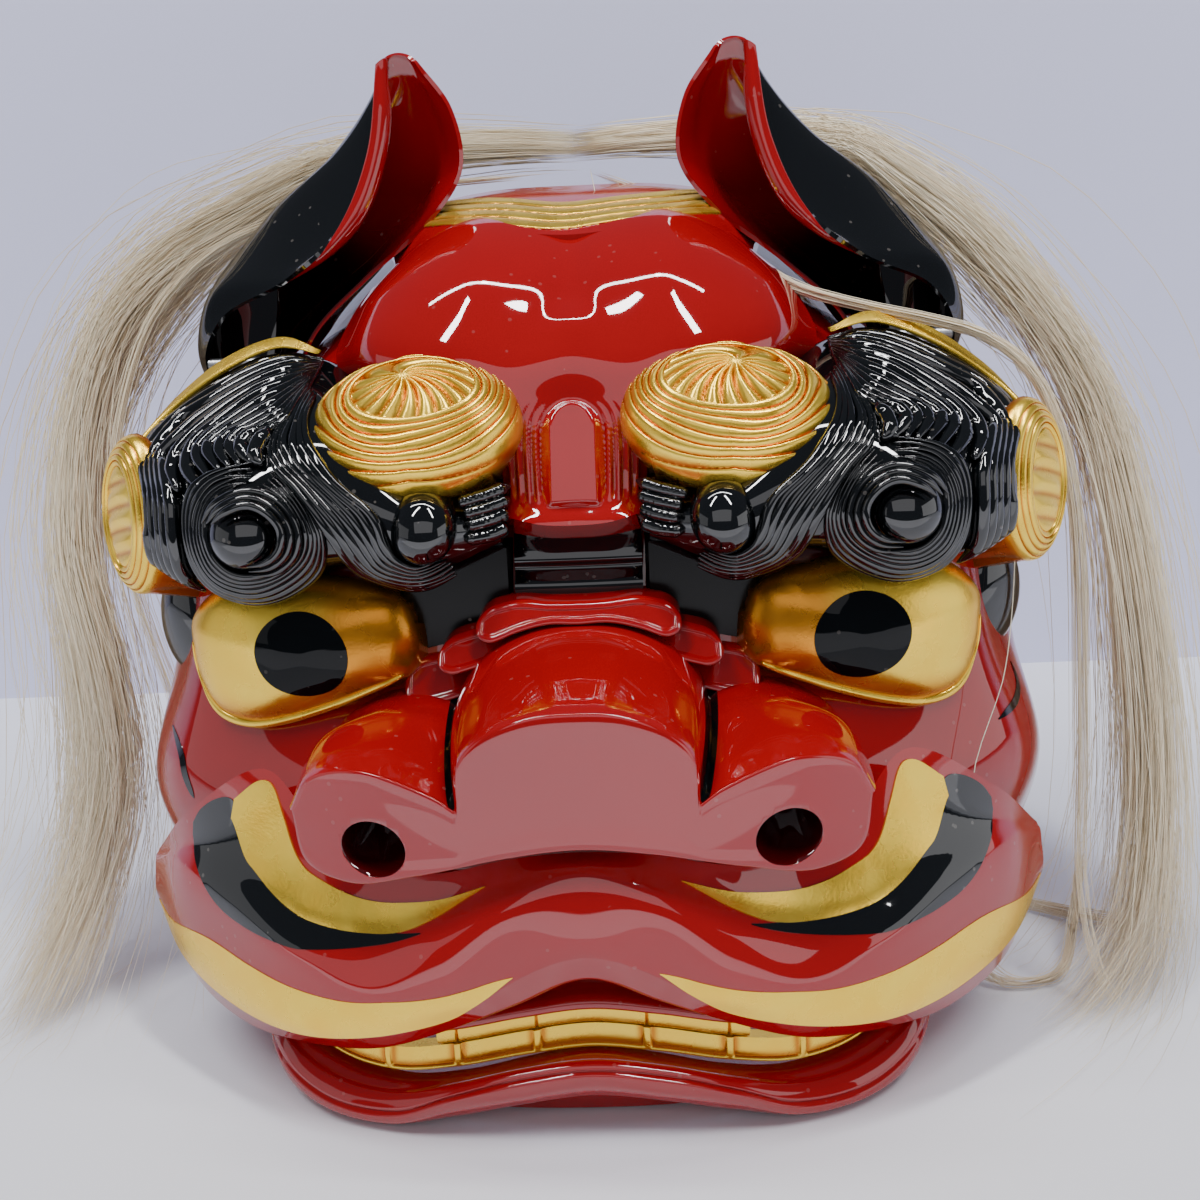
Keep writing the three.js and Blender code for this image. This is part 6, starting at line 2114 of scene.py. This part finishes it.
@dataclass
class Ears:
    """The pricked ears: cups, red inside and black outside, that turn on steel pins."""

    wall: float = 3.6 * MM
    edge: float = 1.6 * MM
    rows: int = 90
    columns: int = 64
    clearance: float = 2.4 * MM
    swing: tuple[float, ...] = (0.0, 4.0, 8.0, 12.0)
    pin_ends: tuple[float, float] = (63.5, 84)
    pin_radius: float = 2.5 * MM
    post_radius: float = 4 * MM
    post_foot: float = 24 * MM

    def rails(self) -> Array:
        """The rails of the right ear in metres."""
        x = EAR_RAILS[..., 0] / 100 * HALF_WIDTH
        yz = EAR_PIN[1:] + EAR_RAILS[..., 1:] / 100 * EAR_RISE
        return np.concatenate([x[..., None], yz], -1)

    def build(self, shop: Workshop, shell: HeadShell) -> None:
        """Makes the ears and their pins.

        Args:
            shop: the finishes.
            shell: the head, which the ears stand clear of.
        """
        along, across = even(self.rows), even(self.columns)
        back = rail_sheet(self.rails(), along, across)
        thin = (
            soft_step(np.minimum(across, 1 - across), 0, 0.14)[None] * soft_step(1 - along, 0, 0.1)[:, None]
        )
        wall = self.edge + (self.wall - self.edge) * thin
        front = back + grid_normals(back) * wall[..., None]
        # Painted shade: the inside of each cup darkens to near black towards its foot, less near its outer
        # rim.
        shade = (1 - soft_step(along, 0.25, 0.62))[:, None] * (1 - 0.9 * soft_step(across, 0.74, 0.82))
        roll = (across[None, :-1] > 0.79) & (along[:-1, None] < 0.40)
        looks = np.where(roll, 1, 0).ravel()
        black_rim = self.rows + self.columns - 2
        rim = np.repeat([1, 0], [black_rim, black_rim])
        for side, word in ((1, "right"), (-1, "left")):
            turn = np.array([side, 1, 1])
            ear = Skin(f"ear_lacquer_{word}")
            ear.add_slab(front * turn, back * turn, looks, back_finish=1, edge_finish=rim, hollow=shade)
            finishes = shop.take(Finish.EAR_RED, Finish.BLACK)
            piece = ear.build(f"{word}_ear", finishes, "black_lacquer", (f"ear_{word}",), sharp=50)
            for turned in self.swing:
                cut(piece, self.clear_space(shell, finishes[1], turned))
            pin = Skin(f"ear_pin_steel_{word}")
            ends = [np.array([side * x / 100 * HALF_WIDTH, *EAR_PIN[1:]]) for x in self.pin_ends]
            add_tubes(pin, np.linspace(ends[0], ends[1], 16)[None], np.full((1, 16), self.pin_radius), 16)
            foot = EAR_PIN * turn
            post = np.linspace(foot - [0, 0, self.post_foot], foot + [0, 0, 1 * MM], 12)
            add_tubes(pin, post[None], np.full((1, 12), self.post_radius), 16)
            pin.build("head", shop.take(Finish.STEEL), "pin_steel", (f"ear_pin_{word}",))

    def clear_space(self, shell: HeadShell, finish: bpy.types.Material, turned: float) -> bpy.types.Object:
        """The shell grown by the clearance, as a tool, where an ear turned on its pin meets it.

        Args:
            shell: the head.
            finish: what the cut faces are dressed with.
            turned: how far the ear has turned on its pin, in degrees.

        Returns:
            The tool.
        """
        skin = rail_sheet(both_halves(SHELL_RAILS), even(44), even(72))
        angle = -math.radians(turned)
        y, z = skin[..., 1] - EAR_PIN[1], skin[..., 2] - EAR_PIN[2]
        skin[..., 1] = EAR_PIN[1] + y * math.cos(angle) - z * math.sin(angle)
        skin[..., 2] = EAR_PIN[2] + y * math.sin(angle) + z * math.cos(angle)
        normals = grid_normals(skin)
        tool = Skin("ear_tool")
        tool.add_slab(skin + normals * self.clearance, skin - normals * (shell.wall + self.clearance))
        return tool.shape([finish], 40, True)


# Mane

MANE_RIGHT = (
    ((43, 40, 107), (52, 36, 102), (61, 31, 96), (70, 26, 88), (78, 21, 79), (83, 15, 70), (86, 6, 58),
     (88, -3, 45),
     (89, -12, 30), (87, -24, 16), (81, -40, 5), (68, -60, 0)),
    ((43, 60, 110), (54, 57, 105), (65, 53, 98), (75, 49, 88), (83, 44, 77), (88, 38, 66), (91, 30, 54),
     (92, 21, 41),
     (93, 11, 27), (93, 0, 13), (92, -10, 4), (88, -22, 0)),
    ((43, 79, 109), (54, 77, 103), (66, 75, 95), (77, 71, 84), (86, 67, 72), (91, 61, 60), (94, 55, 48),
     (95, 48, 36),
     (95.5, 41, 23), (95, 34, 11), (94, 27, 3), (92, 20, 0)),
)
MANE_LEFT = (
    ((40, 41, 107), (54, 36, 102), (66, 30, 97), (76, 24, 89), (82, 18, 78), (84, 11, 68), (84, 3, 57),
     (80, -4, 44),
     (78, -11, 30), (82, -20, 16), (87, -34, 6), (90, -48, 0)),
    ((40, 60, 110), (54, 57, 105), (67, 53, 98), (79, 48, 88), (86, 42, 76), (89, 36, 65), (90, 28, 53),
     (89, 19, 40),
     (88, 10, 27), (90, 0, 14), (92, -10, 5), (94, -22, 0)),
    ((40, 79, 109), (54, 77, 103), (67, 75, 95), (80, 71, 84), (89, 66, 72), (93, 60, 60), (94.5, 53, 48),
     (95, 46, 36),
     (95, 39, 23), (95, 32, 12), (95.5, 24, 4), (95.5, 16, 0)),
)
LOCKS = (
    (1, 95, 2.6, ((2, 34, 104), (12, 26, 100.5), (20, 15, 96), (26, 4, 92), (33, -5, 88), (42, -13, 85.5),
                  (51, -19, 83.6),
                  (58, -23, 81.6), (64, -25.5, 77.5), (68, -26, 71), (71, -25, 62), (72.5, -24, 52),
                  (73, -26, 40),
                  (73, -30, 28), (72, -38, 15), (74, -48, 4), (79, -56, 0.6))),
    (1, 60, 3.6, ((58, 28, 5), (66, 14, 1.5), (74, 4, 1), (83, -6, 1), (95, -12, 1))),
    (1, 40, 3.0, ((80, 0, 12), (76, -16, 4), (70, -34, 1), (61, -36, 1), (57, -30, 4), (60, -22, 8))),
    (-1, 34, 3.0, ((2, 34, 104), (24, 30, 103), (44, 25, 100), (57, 20, 96), (67, 14, 88), (73, 8, 76),
                   (75, 2, 64),
                   (71, -6, 50), (66, -12, 36), (64, -20, 22), (66, -34, 8), (72, -46, 1))),
)
STRAYS = (
    ((-38, -42, 55), (-42, -48, 52), (-47, -51, 46), (-50, -50, 42)),
    ((-88, -30, 34), (-74, -43, 31), (-60, -53, 32), (-46, -62, 34)),
    ((90, -34, 60), (89, -37, 50), (86, -44, 43), (78, -54, 31), (84, -56, 24), (80, -62, 18)),
    ((4, 30, 104), (7, 2, 95), (10, -20, 86), (16, -37, 76), (22, -44, 68)),
    ((10, 26, 102), (20, 0, 92), (31, -18, 82), (33, -34, 76), (38, -44, 72)),
    ((-16, 22, 101), (-14, -2, 92), (-24, -22, 83), (-32, -34, 78), (-31, -42, 72)),
)


@dataclass
class Mane:
    """The horse-hair mane: parted at the crown, it falls behind the ears to the table."""

    hairs: int = 1050
    steps: int = 22
    thickness: float = 9 * MM
    radius: float = 0.17 * MM
    clumps: int = 60
    front_share: float = 0.5
    seed: int = 7

    def rails(self, side: int) -> Array:
        """The rails of a side, drawn as on the right and started at the parting on the crown."""
        p = np.array(MANE_RIGHT if side > 0 else MANE_LEFT, float)
        parting = p[:, :1] * [0, 1, 1] + [-2, 4, 0.4]
        p = np.concatenate([parting, parting * [0, 1, 1] + [14, -1, 0.6], p], 1)
        xyz = places(p)
        xyz[..., 0] = p[..., 0] / 100 * MANE_SPREAD
        return xyz

    def waves(self, draw: np.random.Generator, which: Array, t: Array) -> Array:
        """Slow waves in three directions that the hairs of one clump share."""
        total = 0.0
        for pace in (1.3, 2.9, 5.3):
            swing = draw.normal(0, 1 / pace, (self.clumps, 3))[which][:, None]
            start = draw.random((self.clumps, 3))[which][:, None] * 6.3
            total = total + swing * np.sin(pace * 3.0 * t[..., None] + start)
        return total

    def side_hairs(
        self, draw: np.random.Generator, side: int, count: int, loose: float
    ) -> tuple[Array, Array, Array]:
        """Lines of hair that hang in the sheet of one side.

        Half of the clumps stand at the front edge, the others are spread over the depth. Each
        hair keeps near its clump and wanders from it in slow waves that widen to its end.

        Args:
            draw: the random numbers.
            side: 1 for the right, -1 for the left.
            count: how many hairs.
            loose: how far they stray.

        Returns:
            Lines, radii and tones.
        """
        clump = draw.random(self.clumps)
        ahead = draw.random(self.clumps) < self.front_share
        clump = np.where(ahead, 0.10 * clump, clump)
        which = draw.integers(0, self.clumps, count)
        place = clump[which] + draw.normal(0, 0.02 + 0.05 * loose, count)
        start = draw.random(count) ** 2 * 0.22
        end = 1 - draw.random(count) ** 3 * (0.30 + 0.35 * loose)
        t = start[:, None] + (end - start)[:, None] * even(self.steps)[None]
        across = np.clip(place, 0, 1)[:, None] * np.ones_like(t)
        line = sheet_at(self.rails(side), t.ravel(), across.ravel()).reshape(count, self.steps, 3)
        spread = soft_step(t, 0, 0.35)[..., None]
        shared = self.waves(draw, which, t) * MM * (0.8 + 1.8 * spread)
        own = (
            draw.normal(0, 1, (count, 1, 3))
            * (0.7 + 2.2 * spread + 6 * t[..., None] ** 4) * MM * (1 + 2.2 * loose)
        )
        curl = draw.normal(0, 1, (count, 1, 3)) * np.sin(
            (4 + 5 * draw.random((count, 1, 1))) * t[..., None] + 3
        )
        own = own + curl * MM * (0.5 + 5.5 * loose) * spread
        inward = (
            unit(line * [1, 0, 1])
            * (draw.random((count, 1, 1)) ** 0.8) * self.thickness * (0.3 + 0.4 * spread)
        )
        line = line + shared + own - inward
        line[..., 0] *= side
        return line, self.thin(draw, line), draw.random(count)

    def lock(
        self, draw: np.random.Generator, side: int, count: int, wide: float, path: tuple
    ) -> tuple[Array, Array, Array]:
        """A thin lock along a path.

        Args:
            draw: the random numbers.
            side: 1 for the right, -1 for the left.
            count: how many hairs.
            wide: how far they stand from the path, in millimetres.
            path: its places, drawn as on the right.

        Returns:
            Lines, radii and tones.
        """
        points = np.array(path, float)
        xyz = places(points)
        xyz[:, 0] = points[:, 0] / 100 * MANE_SPREAD
        t = (
            draw.random(count)[:, None] * 0.12
            + (1 - draw.random(count)[:, None] ** 2 * 0.3 - 0.12) * even(30)[None]
        )
        line = smooth_pick(np.broadcast_to(xyz, (t.size, *xyz.shape)), t.ravel()).reshape(*t.shape, 3)
        stand = (
            draw.normal(0, 0.5, (count, 1, 3)) * (0.45 + 0.9 * soft_step(t, 0.3, 0.9))[..., None] * wide * MM
        )
        curl = draw.normal(0, 0.4, (count, 1, 3)) * np.sin(
            (3 + 4 * draw.random((count, 1, 1))) * t[..., None]
        )
        line = line + stand + curl * MM * wide * 0.6
        line[..., 0] *= side
        return line, self.thin(draw, line), draw.random(count)

    def strays(self) -> tuple[Array, Array, Array]:
        """Single hairs that have fallen over the brows, an eye and the cheeks."""
        lines = np.stack([smooth_line(places(path)[None], even(30))[0] for path in STRAYS])
        lines = lines + np.array([0, -2.0, 1.0]) * MM
        return lines, np.full(lines.shape[:2], self.radius * 1.2), np.full(len(lines), 0.9)

    def thin(self, draw: np.random.Generator, line: Array) -> Array:
        """Radius along each hair: its own, drawn thin at the ends."""
        own = self.radius * (0.7 + 0.6 * draw.random((line.shape[0], 1)))
        return own * (1 - even(line.shape[1])[None] ** 4 * 0.75)

    def inside(self, lines: Array) -> Array:
        """Keeps the hair over the table and inside the head's box."""
        return np.clip(lines, [-0.2425, -0.150, 0.0009], [0.2425, 0.124, 0.356])

    def build(self, shop: Workshop) -> None:
        """Makes the mane.

        Args:
            shop: the finishes.
        """
        for side, word in ((1, "right"), (-1, "left")):
            draw = np.random.default_rng(self.seed + side)
            mane = Skin(f"mane_hair_{word}")
            for count, loose in ((self.hairs, 0.0), (190, 1.0)):
                lines, radius, tone = self.side_hairs(draw, side, count, loose)
                add_tubes(mane, self.inside(lines), radius, 3, tone)
            for where, count, wide, path in LOCKS:
                if where == side:
                    lines, radius, tone = self.lock(draw, side, count, wide, path)
                    add_tubes(mane, self.inside(lines), radius, 3, tone)
            if side > 0:
                lines, radius, tone = self.strays()
                add_tubes(mane, self.inside(lines), radius, 3, tone)
            stands = (f"mane_{word}", "mane_crown") if side > 0 else (f"mane_{word}",)
            piece = mane.shape(shop.take(Finish.HAIR), 180, False)
            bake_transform(piece)
            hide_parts(*stands)
            LOG.info("%s: %d faces", mane.name, len(piece.data.polygons))


# Room, lamps and camera


@dataclass
class Studio:
    """The room: a pale table and wall, lamps in the ceiling, and the camera."""

    table_colour: tuple[float, float, float] = (0.84, 0.86, 0.92)
    wall_colour: tuple[float, float, float] = (0.74, 0.755, 0.99)
    wall_at: float = 0.36
    wall_rise: float = 0.60
    table_from: float = -0.95
    camera_at: tuple[float, float, float] = (0.0217, -0.500, 0.270)
    pitch: float = 14.0
    yaw: float = 2.0
    roll: float = 2.6
    lens: float = 38.6

    def build(self) -> None:
        """Sets up the room."""
        self.make_room()
        self.make_lamps()
        self.make_camera()
        world = bpy.data.worlds.new("room_light")
        world.use_nodes = True
        world.node_tree.nodes["Background"].inputs["Color"].default_value = (0.80, 0.84, 1.0, 1)
        world.node_tree.nodes["Background"].inputs["Strength"].default_value = 0.12
        bpy.context.scene.world = world

    def make_room(self) -> None:
        """Makes the table and the wall, as sheets of the stage."""
        for name, colour, corners in (
            ("table_top", self.table_colour,
             ((-3, self.table_from, 0), (3, self.table_from, 0),
              (3, self.wall_at, 0), (-3, self.wall_at, 0))),
            ("back_wall", self.wall_colour,
             ((-3, self.wall_at, 0), (3, self.wall_at, 0), (3, self.wall_at, self.wall_rise),
              (-3, self.wall_at, self.wall_rise))),
        ):
            mesh = bpy.data.meshes.new(name)
            mesh.from_pydata([(x, y, z - 0.0006) for x, y, z in corners], [], [(0, 1, 2, 3)])
            material = bpy.data.materials.new(name)
            material.use_nodes = True
            kit = Nodes(material.node_tree)
            shader = material.node_tree.nodes["Principled BSDF"]
            noise = kit.make("ShaderNodeTexNoise", Vector=kit.where(), Scale=2.2, Detail=3.0)
            dark = tuple(c * 0.9 for c in colour)
            kit.fill(shader, "Base Color", kit.blend(noise.outputs["Fac"], (*dark, 1), (*colour, 1)))
            shader.inputs["Roughness"].default_value = 0.5
            mesh.materials.append(material)
            sheet = bpy.data.objects.new(name, mesh)
            bpy.context.scene.collection.objects.link(sheet)

    def make_lamps(self) -> None:
        """Hangs the lamps: broad soft ones and small crisp ones."""
        for name, at, aim, size, power, colour in (
            ("table_glow", (0.05, -0.64, 0.01), (0.05, -0.64, 1.0), (2.2, 0.6), 2.7, (0.98, 0.97, 1.0)),
            ("front_high", (0.0, -2.3, 1.5), (0, 0, 0.1), (3.0, 1.4), 12.5, (0.98, 0.97, 1.0)),
            ("side_left", (-2.0, -0.7, 0.5), (0, 0, 0.15), (1.6, 0.9), 2.5, (0.98, 0.98, 1.0)),
            ("side_right", (2.0, -0.7, 0.5), (0, 0, 0.15), (1.6, 0.9), 6, (0.98, 0.98, 1.0)),
            ("tube_left", (-0.55, 0.0, 2.1), (0, 0, 0.1), (0.06, 1.2), 8, (1.0, 0.99, 1.0)),
            ("tube_right", (0.40, -0.05, 2.1), (0, 0, 0.1), (0.06, 1.0), 8, (1.0, 0.99, 1.0)),
            ("far_left", (-0.9, -0.7, 2.4), (0, 0, 0.1), (0.15, 1.2), 32, (1.0, 0.99, 1.0)),
            ("far_right", (0.8, -0.8, 2.4), (0, 0, 0.1), (0.15, 1.2), 32, (1.0, 0.99, 1.0)),
        ):
            light = bpy.data.lights.new(name, "AREA")
            light.shape = "RECTANGLE"
            light.size, light.size_y = size
            light.energy = power
            light.color = colour
            lamp = bpy.data.objects.new(name, light)
            lamp.location = at
            lamp.visible_camera = False
            lamp.rotation_euler = (Vector(aim) - Vector(at)).to_track_quat("-Z", "Y").to_euler()
            bpy.context.scene.collection.objects.link(lamp)

    def make_camera(self) -> None:
        """Places the camera as it stood: pitched down, turned and rolled a little."""
        pitch, yaw, roll = (math.radians(a) for a in (self.pitch, self.yaw, self.roll))
        side = Vector((math.cos(yaw), math.sin(yaw), 0))
        level = Vector((-math.sin(yaw), math.cos(yaw), 0))
        ahead = level * math.cos(pitch) - Vector((0, 0, math.sin(pitch)))
        up = level * math.sin(pitch) + Vector((0, 0, math.cos(pitch)))
        side_r = side * math.cos(roll) - up * math.sin(roll)
        up_r = side * math.sin(roll) + up * math.cos(roll)
        data = bpy.data.cameras.new("camera")
        data.sensor_width = 36.0
        data.lens = self.lens
        data.clip_start = 0.02
        camera = bpy.data.objects.new("camera", data)
        basis = Matrix((side_r, up_r, -ahead)).transposed().to_4x4()
        camera.matrix_world = Matrix.Translation(self.camera_at) @ basis
        bpy.context.scene.collection.objects.link(camera)
        bpy.context.scene.camera = camera


CAD_FINISHES = {
    "red_lacquer": Finish.RED,
    "black_lacquer": Finish.BLACK,
    "gilt": Finish.GOLD,
    "horse_hair": Finish.HAIR,
    "pin_steel": Finish.STEEL,
}


def dress_frame(shop: Workshop) -> None:
    """Gives every node of the frame the finish of its slot."""
    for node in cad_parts.values():
        names = [m.name for m in node.data.materials if m]
        keys = [k for k in CAD_FINISHES if any(k in n for n in names)]
        finish = CAD_FINISHES[keys[0]] if keys else Finish.RED
        node.data.materials.clear()
        node.data.materials.append(shop.take(finish)[0])


def main() -> None:
    """Builds the head from the shell outwards, then the room."""
    logging.basicConfig(level=logging.INFO, format="%(message)s")
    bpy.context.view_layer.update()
    shop = Workshop()
    dress_frame(shop)
    shell = HeadShell()
    root = shell.middle()
    shell.build(shop)
    Forehead().build(shop, root)
    Hairline().build(shop)
    Curls().build(shop, root)
    Eyes().build(shop, root)
    Nose().build(shop)
    NoseRoot().build(shop)
    UpperLip().build(shop)
    lower = ToothRow(span=0.96, foot=0.4 * MM, height=8 * MM, thickness=5 * MM, framed=True)
    lower.build("lower_teeth_gilt", "jaw", "lower_teeth", shop)
    upper = ToothRow(span=0.46, foot=9 * MM, height=9 * MM, thickness=5 * MM, framed=False)
    upper.build("upper_teeth_gilt", "head", "upper_teeth", shop)
    Gum().build(shop)
    Jaw().build(shop)
    Brows().build(shop)
    Ears().build(shop, shell)
    Mane().build(shop)
    Studio().build()


if __name__ == "__main__":
    main()
